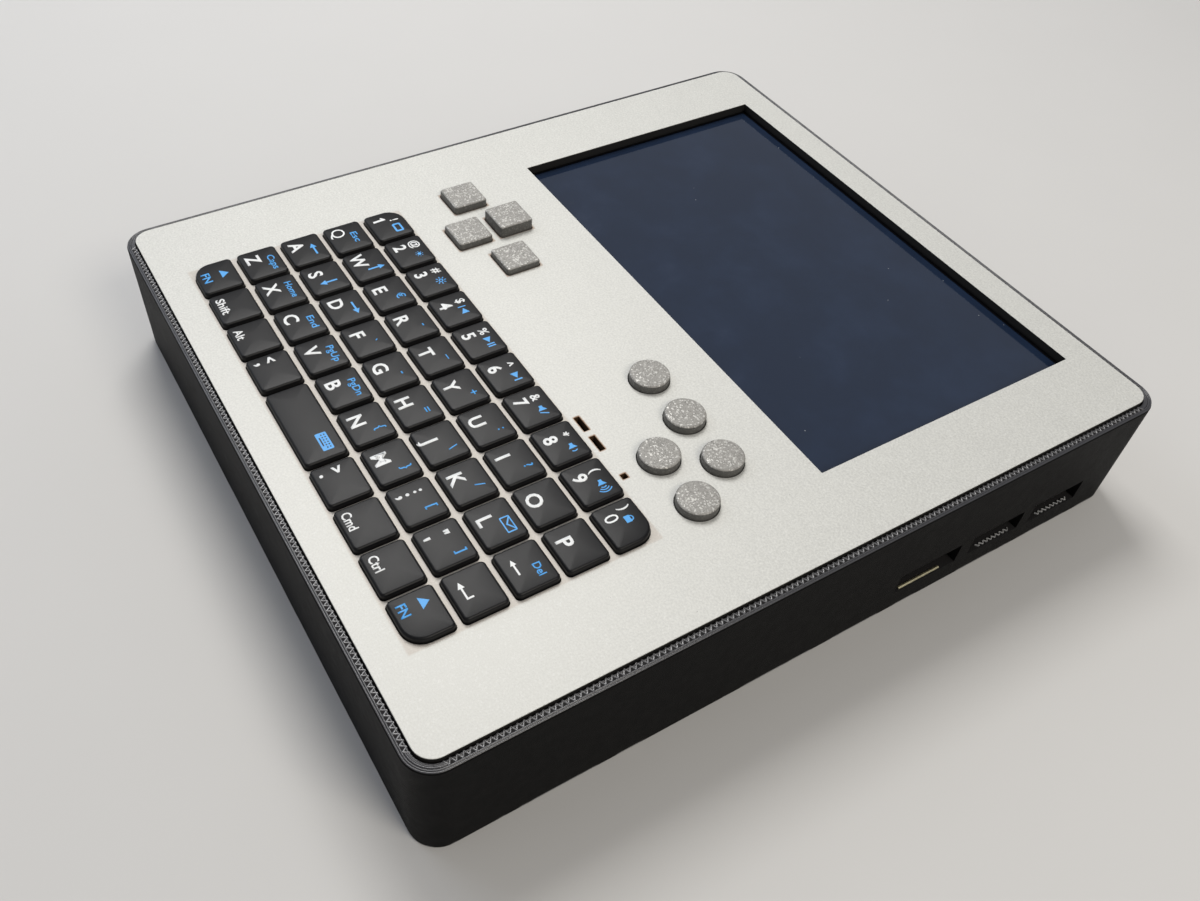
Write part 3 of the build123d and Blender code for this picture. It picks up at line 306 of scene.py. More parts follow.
class Finish:
    """A material made of nodes around one Principled shader."""

    def __init__(self, name, constants):
        self.material = bpy.data.materials.new("handheld_" + name)
        self.material.use_nodes = True
        self.tree = self.material.node_tree
        self.shader = self.tree.nodes["Principled BSDF"]
        for socket, value in constants.items():
            self.shader.inputs[socket].default_value = value
        self.vector = self.add(
            "ShaderNodeVectorMath",
            {"operation": "SCALE"},
            {0: self.add("ShaderNodeTexCoord", output="Object"), "Scale": 1 / MM},
        )
        self.x, self.y, self.z = (
            self.add("ShaderNodeSeparateXYZ", inputs={0: self.vector}, output=axis) for axis in range(3)
        )

    def add(self, kind, settings=None, inputs=None, output=0):
        """One node: its settings first, then the values or links of its sockets."""
        node = self.tree.nodes.new(kind)
        for name, value in (settings or {}).items():
            setattr(node, name, value)
        for name, value in (inputs or {}).items():
            self.feed(node.inputs[name], value)
        return Value(self, node.outputs[output])

    def feed(self, socket, value):
        """Links a Value to a socket, or sets a number or colour on it."""
        if isinstance(value, Value):
            self.tree.links.new(value.socket, socket)
        elif hasattr(value, "__len__") and len(value) == 3 and socket.type == "RGBA":
            socket.default_value = (*value, 1)
        else:
            socket.default_value = value

    def use(self, sockets):
        """Feeds the shader's sockets and returns the material."""
        for name, value in sockets.items():
            self.feed(self.shader.inputs[name], value)
        return self.material

    def noise(self, size, detail=2.0, rough=0.5, vector=None):
        """Noise whose blobs are about size millimetres wide."""
        inputs = {"Vector": vector or self.vector, "Scale": 1 / size, "Detail": detail, "Roughness": rough}
        return self.add("ShaderNodeTexNoise", inputs=inputs)

    def cells(self, size, output="Color"):
        """Random cells about size millimetres wide: a random number, or the distance to the middle."""
        inputs = {"Vector": self.vector, "Scale": 1 / size}
        cell = self.add("ShaderNodeTexVoronoi", inputs=inputs, output=output)
        if output == "Color":
            return self.add("ShaderNodeSeparateXYZ", inputs={0: cell})
        return cell

    def mix(self, factor, first, second):
        """A colour between two colours."""
        return self.add("ShaderNodeMix", {"data_type": "RGBA"}, {0: factor, 6: first, 7: second}, output=2)

    def bump(self, height, distance, strength=1.0):
        """A normal from a height; distance is in millimetres."""
        inputs = {"Height": height, "Distance": distance * MM, "Strength": strength}
        return self.add("ShaderNodeBump", inputs=inputs)

    def facing(self, axis):
        """How far a face looks along an axis of the object."""
        normal = self.add("ShaderNodeTexCoord", output="Normal")
        return self.add("ShaderNodeSeparateXYZ", inputs={0: normal}, output=axis)


def corners_of(points):
    """Lowest and highest corner of a box around points."""
    points = list(points)
    return tuple(Vector(pick(point[axis] for point in points) for axis in range(3)) for pick in (min, max))


def middle_of(low, high):
    """The middle of a box, seen from above."""
    return (low.x + high.x) / 2, (low.y + high.y) / 2


def key_nodes():
    """The packed nodes that hold keys."""
    return [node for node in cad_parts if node.startswith(("key_", "keys_"))]


def keyboard_box():
    """Lowest and highest corner of all keys together."""
    return corners_of(corner for node in key_nodes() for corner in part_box(node))


def square_place(node):
    """Centre and size of the opening around a square cap."""
    low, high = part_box(node)
    side = high.x - low.x - 2 * (CAP_FLANGE - CAP_GAP)
    return (*middle_of(low, high), side, side)


def box_distance(finish, centre_x, centre_y, size_x, size_y):
    """Distance in millimetres, in the plate's plane, from an opening's edge."""
    out_x = (abs(finish.x - centre_x / MM) - size_x / MM / 2).larger(0.0)
    out_y = (abs(finish.y - centre_y / MM) - size_y / MM / 2).larger(0.0)
    return (out_x * out_x + out_y * out_y).root()


def plate_finish(plate):
    """Silver skin with a fine grain and painted glints on a dark core, browned close to the small slots."""
    finish = Finish("plate_silver", {"IOR": 1.5, "Specular IOR Level": 0.5})
    fine = finish.noise(0.42, 3.0, 0.7)
    broad = finish.noise(9.0, 2.0)
    grain = fine.ramp(0.32, 0.68) * 0.6 + finish.noise(1.3, 2.0) * 0.25 + broad * 0.15
    tone = shade(plate.silver, 0.80)
    silver = finish.mix(grain, tone, shade(plate.silver, 1.12))
    # Painted glints: a few small grain cells are lightened towards white.
    painted_sparkle = finish.cells(0.24) > 0.93
    silver = finish.mix(painted_sparkle * 0.12, silver, (0.95, 0.95, 0.93))
    specks = (finish.cells(3.1, "Distance") < 0.035) * (finish.cells(3.1) > 0.72)
    silver = finish.mix(specks * 0.55, silver, (0.20, 0.19, 0.17))
    reach = box_distance(finish, LIGHT_HOLE_X, SLOT_Y, SLOT_SIZE[1], SLOT_SIZE[1])
    for slot_x in SLOT_XS:
        reach = reach.smaller(box_distance(finish, slot_x, SLOT_Y, *SLOT_SIZE))
    scorch = (reach + finish.noise(0.6) * 0.25).ramp(0.5, 0.15)
    silver = finish.mix(scorch * 0.85, silver, plate.burn)
    low, high = keyboard_box()
    keyboard = box_distance(finish, *middle_of(low, high), high.x - low.x, high.y - low.y)
    silver = finish.mix(keyboard.ramp(0.5, 0.0) * 0.22, silver, plate.burn)
    pad = box_distance(finish, *square_place(DIRECTION_NODES[0]))
    for node in DIRECTION_NODES[1:]:
        pad = pad.smaller(box_distance(finish, *square_place(node)))
    silver = finish.mix(pad.ramp(0.45, 0.0) * 0.55, silver, plate.burn)
    skin = finish.z > (PLATE_TOP - plate.skin) / MM
    face = finish.facing(2) > 0.3
    on_skin = skin * face
    core = finish.mix((reach < 0.2) * 0.25, plate.core, plate.burn)
    return finish.use({
        "Base Color": finish.mix(on_skin, core, silver),
        "Metallic": on_skin * 0.18,
        "Roughness": 0.66 - on_skin * (0.22 - grain * 0.2),
        "Normal": finish.bump(fine * on_skin, 0.02, 0.6),
    })


def printed_finish(name, tone, roughness, relief, sheen):
    """Black printed plastic: layer lines on the walls, crossing lines on level faces, upward faces painted
    lighter as if lit, and a painted highlight low on the walls.
    """
    finish = Finish(name, {"IOR": 1.46, "Specular IOR Level": sheen})
    level = abs(finish.facing(2)) > 0.7
    layers = (finish.z * (2 * math.pi / LAYER_PITCH)).sine()
    lines = ((finish.x + finish.y) * (2 * math.pi / LINE_PITCH)).sine()
    height = layers * (1 - level) + lines * level
    tint = finish.noise(2.4, 3.0)
    base = finish.mix(tint, shade(tone, 0.7), shade(tone, 1.35))
    # Painted light from above: upward faces are lightened, up to five times the tone.
    up = finish.facing(2).ramp(0.6, 0.9)
    base = finish.mix(up, base, shade(tone, 5))
    # Painted highlight: a pale band low on the walls, broken into patches, stands for the light caught along
    # the case's foot.
    wall = abs(finish.facing(2)) < 0.3
    painted_foot_highlight = wall * (finish.z > FOOT_HIGHLIGHT[0]) * (finish.z < FOOT_HIGHLIGHT[1])
    highlight_patches = finish.noise(7.0, 2.0).ramp(0.42, 0.55)
    base = finish.mix(painted_foot_highlight * highlight_patches * 0.6, base, (0.4, 0.4, 0.4))
    return finish.use({
        "Base Color": base,
        "Roughness": roughness + tint * 0.16 - 0.08,
        "Normal": finish.bump(height + finish.noise(0.25) * 0.6, relief, 0.5),
    })


def key_finish(keys):
    """Soft dark rubber with a faint grain."""
    finish = Finish("key_rubber", {"IOR": 1.48, "Specular IOR Level": 0.24})
    tint = finish.noise(3.0, 3.0)
    grain = finish.noise(0.16, 2.0)
    return finish.use({
        "Base Color": finish.mix(tint, shade(keys.rubber, 0.8), shade(keys.rubber, 1.25)),
        "Roughness": grain * 0.12 + 0.34,
        "Normal": finish.bump(grain, 0.012, 0.5),
    })


def ink_finish(name, tone, roughness):
    """Print on the keys, slightly uneven."""
    finish = Finish(name, {"IOR": 1.5})
    wear = finish.noise(0.35, 2.0)
    return finish.use({
        "Base Color": finish.mix(wear, shade(tone, 0.88), tone),
        "Roughness": roughness + wear * 0.1,
    })


def cap_finish(caps):
    """Grey plastic full of glitter grains, with painted shade on its sides."""
    finish = Finish("cap_speckle", {"IOR": 1.5, "Specular IOR Level": 0.55})
    size = caps.grain / MM
    grains = finish.cells(size)
    small = finish.cells(size * 0.6)
    bright = grains.ramp(0.72, 0.95)
    dark = small.ramp(0.3, 0.1)
    # Painted shade: faces that turn away from the top are darkened towards a nearly black grey.
    side = finish.facing(2).ramp(0.75, 0.35)
    base = finish.mix(finish.noise(1.2), shade(caps.grey, 0.8), shade(caps.grey, 1.15))
    base = finish.mix(dark * 0.5, base, shade(caps.grey, 0.35))
    base = finish.mix(bright * 0.6, base, caps.bright)
    return finish.use({
        "Base Color": finish.mix(side * 0.8, base, shade(caps.grey, 0.12)),
        "Metallic": bright * 0.25,
        "Roughness": 0.5 - bright * 0.15,
        "Normal": finish.bump(grains * 0.6 + small * 0.4, 0.03, 0.6),
    })


def screen_finish(screen, plate):
    """Dark switched-off screen below gloss, with a black border, smears and dust."""
    finish = Finish("screen_glass", {"IOR": 1.52, "Coat IOR": 1.5, "Coat Roughness": 0.04})
    half_x = plate.window_width / MM / 2 - screen.border / MM
    half_y = plate.window_length / MM / 2 - screen.border / MM
    inside = (abs(finish.x) < half_x) * (abs(finish.y - WINDOW_CENTRE_Y / MM) < half_y)
    smear = finish.noise(14.0, 4.0, 0.6)
    fine = finish.noise(2.2, 5.0, 0.7)
    lit = finish.mix(smear.ramp(0.35, 0.75), screen.glass, shade(screen.glass, 1.3))
    dust = (finish.cells(4.4, "Distance") < 0.03) * (finish.cells(4.4) > 1 - screen.dust)
    lit = finish.mix(dust * 0.7, lit, (0.22, 0.23, 0.25))
    return finish.use({
        "Base Color": finish.mix(inside, (0.004, 0.004, 0.005), lit),
        "Roughness": 0.10 + smear.ramp(0.5, 0.75) * 0.10 + fine.ramp(0.55, 0.8) * 0.06 + dust * 0.4,
        "Coat Weight": 0.5 - dust * 0.5,
    })


def simple_finish(name, tone, roughness, metallic, size, contrast, relief):
    """A plain material with a little variation in tone, gloss and relief."""
    finish = Finish(name, {})
    tint = finish.noise(size, 3.0)
    fine = finish.noise(size / 6, 2.0)
    low = shade(tone, 1 - contrast)
    high = shade(tone, 1 + contrast)
    return finish.use({
        "Base Color": finish.mix(tint, low, high),
        "Roughness": roughness + tint * 0.12 - 0.06,
        "Metallic": metallic + fine * 0.02,
        "Normal": finish.bump(fine, relief, 0.5),
    })


def board_finish():
    """Green circuit board with copper tracks below its lacquer."""
    finish = Finish("circuit_board", {"Coat Weight": 0.25, "Coat Roughness": 0.2})
    tracks = (finish.x * 2.2 + finish.noise(3.0) * 3).sine().ramp(0.55, 0.75)
    across = (finish.y * 1.7 + finish.noise(4.0) * 3).sine().ramp(0.6, 0.8)
    copper = tracks.larger(across)
    return finish.use({
        "Base Color": finish.mix(copper, (0.010, 0.075, 0.028), (0.018, 0.14, 0.055)),
        "Roughness": 0.42 - copper * 0.1,
        "Normal": finish.bump(copper, 0.03, 0.4),
    })


# Tone, roughness, metallic, size of the variation in millimetres, its contrast, and relief in millimetres
SIMPLE_FINISHES = {
    "black_foam": ((0.008, 0.008, 0.008), 0.9, 0.0, 0.5, 0.5, 0.2),
    "lcd_black": ((0.01, 0.01, 0.012), 0.35, 0.0, 4.0, 0.2, 0.01),
    "steel": ((0.50, 0.50, 0.50), 0.32, 1.0, 0.8, 0.12, 0.01),
    "socket_metal": ((0.62, 0.60, 0.55), 0.28, 1.0, 1.2, 0.15, 0.02),
    "brass": ((0.60, 0.42, 0.16), 0.30, 1.0, 0.8, 0.1, 0.01),
    "aluminium": ((0.60, 0.61, 0.62), 0.36, 1.0, 0.7, 0.08, 0.02),
    "black_plastic": ((0.012, 0.012, 0.012), 0.45, 0.0, 1.0, 0.3, 0.02),
    "battery_wrap": ((0.05, 0.10, 0.22), 0.34, 0.0, 6.0, 0.15, 0.08),
    "dome_film": ((0.55, 0.55, 0.52), 0.30, 0.0, 2.0, 0.1, 0.02),
    "lamp": ((0.22, 0.20, 0.12), 0.25, 0.0, 0.5, 0.1, 0.01),
    "ribbon_film": ((0.42, 0.20, 0.05), 0.30, 0.0, 1.0, 0.12, 0.01),
    "wire": ((0.28, 0.012, 0.010), 0.40, 0.0, 1.0, 0.1, 0.02),
}


def node_finishes(scene):
    """The material of every slot of the packed record."""
    return {
        "printed_black": printed_finish("printed_black", (0.0036, 0.0035, 0.0036), 0.55, 0.02, 0.07),
        "plate_silver": plate_finish(scene.handheld_plate),
        "screen_glass": screen_finish(scene.handheld_screen, scene.handheld_plate),
        "key_rubber": key_finish(scene.handheld_keys),
        "cap_speckle": cap_finish(scene.handheld_caps),
        "circuit_board": board_finish(),
        **{name: simple_finish(name, *values) for name, values in SIMPLE_FINISHES.items()},
    }


def finish_of(slot):
    """The material made for one slot."""
    return bpy.data.materials["handheld_" + slot]


def place_piece(name, mesh, body, materials):
    """Links a finished mesh as a piece that rides on a body."""
    piece = bpy.data.objects.new(name, mesh)
    bpy.context.scene.collection.objects.link(piece)
    for material in materials:
        mesh.materials.append(material)
    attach(piece, body)
    return piece


def mesh_from(name, shape, smooth_angle=None):
    """A mesh from a bmesh, shaded smooth where its faces meet below an angle in degrees."""
    bmesh.ops.recalc_face_normals(shape, faces=shape.faces)
    mesh = bpy.data.meshes.new(name)
    shape.to_mesh(mesh)
    shape.free()
    if smooth_angle is not None:
        mesh.shade_smooth()
        mesh.set_sharp_from_angle(angle=math.radians(smooth_angle))
    return mesh


def plain_mesh(source, name):
    """The evaluated shape of a curve, text or modified object as a plain mesh; the source is removed."""
    graph = bpy.context.evaluated_depsgraph_get()
    mesh = bpy.data.meshes.new_from_object(source.evaluated_get(graph))
    mesh.name = name
    data = source.data
    bpy.data.objects.remove(source)
    if isinstance(data, bpy.types.Curve):
        bpy.data.curves.remove(data)
    return mesh


def rounded(centre, width, length, radii, steps=6):
    """Points of a rectangle with round corners, from its lower right corner round to the lower left."""
    points = []
    for turn, (side, end) in enumerate(((1, -1), (1, 1), (-1, 1), (-1, -1))):
        radius = min(radii[turn], width * 0.45, length * 0.45)
        middle = (centre[0] + side * (width / 2 - radius), centre[1] + end * (length / 2 - radius))
        for step in range(steps + 1):
            angle = math.radians(-90 + 90 * turn + 90 * step / steps)
            points.append((middle[0] + radius * math.cos(angle), middle[1] + radius * math.sin(angle)))
    return points


def circle(centre, radius, steps=48):
    """Points of a circle."""
    angles = [2 * math.pi * i / steps for i in range(steps)]
    return [(centre[0] + radius * math.cos(angle), centre[1] + radius * math.sin(angle)) for angle in angles]


def add_loft(shape, rings, cap_low=True, cap_high=True):
    """Skins a stack of rings, each a list of points and a level."""
    loops = [[shape.verts.new((x, y, level)) for x, y in points] for points, level in rings]
    for low, high in zip(loops, loops[1:]):
        for i, corner in enumerate(low):
            j = (i + 1) % len(low)
            shape.faces.new((corner, low[j], high[j], high[i]))
    if cap_low:
        shape.faces.new(loops[0][::-1])
    if cap_high:
        shape.faces.new(loops[-1])
    return loops


def solid_boxes(node):
    """Centre, size and top of each separate solid of a packed node."""
    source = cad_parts[node].data
    shape = bmesh.new()
    shape.from_mesh(source)
    bmesh.ops.remove_doubles(shape, verts=shape.verts, dist=0.001 * MM)
    boxes = []
    left = set(shape.verts)
    while left:
        stack = [left.pop()]
        group = list(stack)
        while stack:
            for edge in stack.pop().link_edges:
                for vertex in edge.verts:
                    if vertex in left:
                        left.remove(vertex)
                        stack.append(vertex)
                        group.append(vertex)
        boxes.append(corners_of(vertex.co for vertex in group))
    shape.free()
    return boxes


def key_places():
    """Every key: node, row, column, number of keys in its row, and the corners of its box."""
    found = []
    for node in key_nodes():
        found += [(node, low, high) for low, high in solid_boxes(node)]
    found.sort(key=lambda place: place[1].y)
    places = []
    start = 0
    for row, legends in enumerate(ROWS):
        members = sorted(found[start:start + len(legends)], key=lambda place: place[1].x)
        start += len(legends)
        for column, (node, low, high) in enumerate(members):
            places.append((node, row, column, len(legends), low, high))
    return places


def key_radii(place, keys, grow=0.0):
    """Corner radii of a key: lower right, upper right, upper left, lower left."""
    _, row, column, count, _, _ = place
    radii = [keys.corner] * 4
    if row in (0, len(ROWS) - 1) and column in (0, count - 1):
        outer = {(0, 0): 3, (0, 1): 0, (1, 1): 1, (1, 0): 2}[(int(row > 0), int(column > 0))]
        radii[outer] = keys.outer_corner + grow
    return radii


def key_ring(place, keys, grow, level):
    """A key's outline, grown or drawn in, at a level."""
    low, high = place[4], place[5]
    centre = middle_of(low, high)
    width = high.x - low.x - 2 * KEY_FLANGE + 2 * grow
    length = high.y - low.y - 2 * KEY_FLANGE + 2 * grow
    radii = [max(radius + grow, 0.35 * MM) for radius in key_radii(place, keys)]
    return rounded(centre, width, length, radii), level


def key_shape(place, keys):
    """One key: foot, flange, straight side, rounded edge and slightly crowned top."""
    low, high = place[4], place[5]
    flange_top = PLATE_LOW.z - FLANGE_GAP
    flange_base = flange_top - KEY_FLANGE_T
    side_top = PLATE_TOP + keys.shoulder
    edge_top = high.z - keys.crown
    rings = [
        key_ring(place, keys, KEY_FLANGE, flange_base),
        key_ring(place, keys, KEY_FLANGE, flange_top),
        key_ring(place, keys, 0.0, flange_top),
        key_ring(place, keys, 0.0, side_top),
    ]
    for step in range(1, 8):
        angle = math.radians(90 * step / 7)
        level = side_top + (edge_top - side_top) * math.sin(angle)
        rings.append(key_ring(place, keys, -keys.edge * (1 - math.cos(angle)), level))
    reach = min(high.x - low.x, high.y - low.y) / 2 - KEY_FLANGE - keys.edge
    for step in range(1, 6):
        share = step / 6
        level = edge_top + keys.crown * (1 - (1 - share) ** 2)
        rings.append(key_ring(place, keys, -keys.edge - reach * share, level))
    shape = bmesh.new()
    add_loft(shape, rings)
    middle = middle_of(low, high)
    foot = circle(middle, KEY_FOOT_R, 16)
    add_loft(shape, [(foot, low.z), (foot, flange_base)])
    return shape


def plate_mesh(plate, keys):
    """The front plate with a small bevel along its outline and every opening."""
    centre = middle_of(PLATE_LOW, PLATE_HIGH)
    width = PLATE_HIGH.x - PLATE_LOW.x
    length = PLATE_HIGH.y - PLATE_LOW.y
    window = ((0.0, WINDOW_CENTRE_Y), plate.window_width, plate.window_length)
    cuts = [(*window, [WINDOW_CORNER] * 4)]
    for place in key_places():
        low, high = place[4], place[5]
        middle = middle_of(low, high)
        wide = high.x - low.x - 2 * (KEY_FLANGE - KEY_GAP)
        long = high.y - low.y - 2 * (KEY_FLANGE - KEY_GAP)
        cuts.append((middle, wide, long, key_radii(place, keys, KEY_GAP)))
    for node in DIRECTION_NODES:
        *middle, wide, long = square_place(node)
        cuts.append((middle, wide, long, [SQUARE_CORNER + CAP_GAP] * 4))
    for slot_x in SLOT_XS:
        cuts.append(((slot_x, SLOT_Y), *SLOT_SIZE, [SLOT_CORNER] * 4))
    cuts.append(((LIGHT_HOLE_X, SLOT_Y), SLOT_SIZE[1], SLOT_SIZE[1], [SLOT_CORNER] * 4))
    rounds = []
    for node in ACTION_NODES:
        low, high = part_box(node)
        rounds.append((middle_of(low, high), (high.x - low.x) / 2 - CAP_FLANGE + CAP_GAP))

    def outlines(grow):
        lines = [rounded(centre, width - 2 * grow, length - 2 * grow, [plate.corner - grow] * 4, 10)]
        for middle, wide, long, radii in cuts:
            grown_radii = [radius + grow for radius in radii]
            lines.append(rounded(middle, wide + 2 * grow, long + 2 * grow, grown_radii))
        for middle, radius in rounds:
            lines.append(circle(middle, radius + grow))
        return lines

    shape = bmesh.new()
    levels = ((0.0, PLATE_LOW.z), (0.0, PLATE_TOP - plate.bevel), (plate.bevel, PLATE_TOP))
    stacks = [outlines(grow) for grow, _ in levels]
    for number in range(len(stacks[0])):
        add_loft(shape, [(stack[number], level) for stack, (_, level) in zip(stacks, levels)], False, False)
    shape.verts.ensure_lookup_table()
    for lines, level in ((stacks[0], PLATE_LOW.z), (stacks[-1], PLATE_TOP)):
        flat = [[Vector((x / MM, y / MM, 0)) for x, y in line] for line in lines]
        points = [(x, y, level) for line in lines for x, y in line]
        corners = [shape.verts.new(point) for point in points]
        for triangle in geometry.tessellate_polygon(flat):
            shape.faces.new([corners[i] for i in triangle])
    bmesh.ops.remove_doubles(shape, verts=shape.verts, dist=0.0005 * MM)
    return mesh_from("front_plate_dressed", shape)


def cap_shape(node, caps, round_cap):
    """A button cap: foot, flange, side, rounded edge and a flat top."""
    low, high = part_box(node)
    middle = middle_of(low, high)
    half = (high.x - low.x) / 2 - CAP_FLANGE

    def ring(grow, level):
        if round_cap:
            return circle(middle, half + grow, 64), level
        radius = max(SQUARE_CORNER + max(grow, -0.35 * MM), 0.3 * MM)
        return rounded(middle, 2 * (half + grow), 2 * (half + grow), [radius] * 4, 8), level

    flange_top = PLATE_LOW.z - FLANGE_GAP
    flange_base = flange_top - CAP_FLANGE_T
    top = high.z
    rings = [ring(CAP_FLANGE, flange_base), ring(CAP_FLANGE, flange_top), ring(0, flange_top)]
    for step in range(9):
        angle = math.radians(90 * step / 8)
        rings.append(ring(-caps.edge * (1 - math.cos(angle)), top - caps.edge * (1 - math.sin(angle))))
    shape = bmesh.new()
    add_loft(shape, rings)
    foot = circle(middle, CAP_FOOT_R, 24)
    add_loft(shape, [(foot, low.z), (foot, flange_base)])
    return shape


def text_outline(text, height, bold, width=None, middle=False):
    """A flat mesh of a text, its capitals height high, centred on the origin; width stretches it."""
    curve = bpy.data.curves.new("sign", "FONT")
    curve.body = text
    curve.size = 1.0
    curve.offset = bold * CAPITAL_SHARE / height
    curve.resolution_u = 3
    holder = bpy.data.objects.new("sign", curve)
    bpy.context.scene.collection.objects.link(holder)
    mesh = plain_mesh(holder, "sign")
    mesh.transform(Matrix.Scale(height / CAPITAL_SHARE, 4))
    low, high = corners_of(vertex.co for vertex in mesh.vertices)
    drop = (low.y + high.y) / 2 if middle else height / 2
    mesh.transform(Matrix.Translation((-(low.x + high.x) / 2, -drop, 0)))
    if width:
        mesh.transform(Matrix.Scale(width / (high.x - low.x), 4, (1, 0, 0)))
    return mesh


def add_text(shape, text, centre, height, bold, width=None, middle=False):
    """Adds a text as flat faces; they get their thickness later."""
    mesh = text_outline(text, height, bold, width, middle)
    mesh.transform(Matrix.Translation((centre[0], centre[1], 0)))
    shape.from_mesh(mesh)
    bpy.data.meshes.remove(mesh)


def add_flat(shape, outlines, centre, turn=0.0):
    """Adds a flat figure of millimetre outlines, turned by degrees: its outer line and then its holes."""
    spin = Matrix.Rotation(math.radians(turn), 3, "Z")
    flat = [[spin @ Vector((x, y, 0)) for x, y in line] for line in outlines]
    points = [point * MM for line in flat for point in line]
    corners = [shape.verts.new((p.x + centre[0], p.y + centre[1], 0)) for p in points]
    for triangle in geometry.tessellate_polygon(flat):
        shape.faces.new([corners[i] for i in triangle])


def bar(x0, y0, x1, y1):
    """An upright rectangle's outline."""
    return [(x0, y0), (x1, y0), (x1, y1), (x0, y1)]


def arc_band(centre, radius, thick, start, end, steps=8):
    """A bent stripe's outline, between two angles in degrees."""
    line = []
    for reach, order in ((radius - thick / 2, range(steps + 1)), (radius + thick / 2, range(steps, -1, -1))):
        for i in order:
            angle = math.radians(start + (end - start) * i / steps)
            line.append((centre[0] + reach * math.cos(angle), centre[1] + reach * math.sin(angle)))
    return line


def arrow(length, shaft=0.2, head=0.72, tip=1.35):
    """An arrow that points to the left, centred."""
    half = length / 2
    return [
        (-half, 0), (-half + tip, -head), (-half + tip, -shaft), (half, -shaft),
        (half, shaft), (-half + tip, shaft), (-half + tip, head),
    ]


SPEAKER = [(-1.2, -0.35), (-0.7, -0.35), (0.0, -0.9), (0.0, 0.9), (-0.7, 0.35), (-1.2, 0.35)]
TRIANGLE = [(-0.8, -0.85), (0.7, 0.0), (-0.8, 0.85)]


EIGHTHS = [math.pi / 4 * turn for turn in range(8)]


def frame_of(width, length, corner, inner_width, inner_length, inner_corner, steps):
    """A frame with round corners: its outer line and its hole."""
    hole = rounded((0, 0), inner_width, inner_length, [inner_corner] * 4, steps)
    return [rounded((0, 0), width, length, [corner] * 4, steps), hole[::-1]]


def sun_ray(angle):
    """One short bar of the sun sign."""
    along, across = (math.cos(angle), math.sin(angle)), (-math.sin(angle) * 0.11, math.cos(angle) * 0.11)
    return [[
        (along[0] * r + s * across[0], along[1] * r + s * across[1])
        for r, s in ((0.68, -1), (1.15, -1), (1.15, 1), (0.68, 1))
    ]]


def enter_arrow():
    """An arrow that comes down and turns to the left."""
    line = arrow(3.7, 0.17, 0.62, 1.3)
    return [*line[:3], (1.85, -0.17), (1.85, 1.15), (1.5, 1.15), (1.5, 0.17), *line[5:]]


def key_holes():
    """The holes of the small keyboard sign."""
    places = [(x, y) for y in (0.55, 0.0) for x in (-1.6, -0.96, -0.32, 0.32, 0.96, 1.6)]
    holes = [bar(x - 0.17, y - 0.13, x + 0.17, y + 0.13) for x, y in places]
    return [hole[::-1] for hole in [*holes, bar(-1.1, -0.68, 1.1, -0.42)]]


# Small figures in millimetres: the parts of each, every part an outer line and then its holes
TURNS = {"left": 0, "down": 90, "right": 180, "up": 270}
FIGURES = {
    **{name: [[arrow(3.7)]] for name in TURNS},
    "back": [[arrow(3.3, 0.17, 0.55, 1.1)]],
    "enter": [[enter_arrow()]],
    "1": [[[
        (-0.3, -1.35), (0.3, -1.35), (0.3, 1.35), (-0.1, 1.35), (-0.9, 0.75), (-0.7, 0.35), (-0.3, 0.6)
    ]]],
    "fn": [[[(-1.25, -0.8), (1.25, -0.8), (0, 0.85)]]],
    "square": [frame_of(2.8, 1.9, 0.35, 1.9, 1.05, 0.15, 3)],
    "dim": [
        [circle((0, 0), 0.42, 16)],
        *([circle((0.75 * math.cos(a), 0.75 * math.sin(a)), 0.11, 6)] for a in EIGHTHS),
    ],
    "sun": [[circle((0, 0), 0.5, 16), circle((0, 0), 0.26, 16)[::-1]], *(sun_ray(a) for a in EIGHTHS)],
    "previous": [[[(-x, y) for x, y in TRIANGLE][::-1]], [bar(-1.35, -0.85, -1.1, 0.85)]],
    "next": [[TRIANGLE], [bar(0.95, -0.85, 1.25, 0.85)]],
    "play": [[[(x - 0.5, y) for x, y in TRIANGLE]], [bar(0.5, -0.8, 0.8, 0.8)], [bar(1.1, -0.8, 1.4, 0.8)]],
    "mute": [[SPEAKER], [[(0.25, -0.75), (0.45, -0.85), (1.2, 0.7), (1.0, 0.8)]]],
    "quiet": [[SPEAKER], [arc_band((0, 0), 0.75, 0.2, -45, 45)]],
    "loud": [[SPEAKER], *([arc_band((0, 0), radius, 0.2, -50, 50)] for radius in (0.65, 1.15, 1.65))],
    "lock": [[bar(-0.75, -0.95, 0.75, 0.15)], [arc_band((0, 0.15), 0.5, 0.22, 0, 180)]],
    "envelope": [
        frame_of(3.5, 1.9, 0.2, 3.0, 1.45, 0.1, 2),
        [[(-1.5, 0.7), (-1.2, 0.78), (0, -0.05), (1.2, 0.78), (1.5, 0.7), (0, -0.4)]],
    ],
    "keyboard": [[rounded((0, 0), 4.4, 2.1, [0.2] * 4, 2), *key_holes()]],
}


def add_sign(shape, sign, centre, height, bold):
    """Adds a figure if there is one of that name, otherwise a text."""
    if sign not in FIGURES:
        add_text(shape, sign, centre, height, bold, middle=True)
    for lines in FIGURES.get(sign, ()):
        add_flat(shape, lines, centre, TURNS.get(sign, 0))


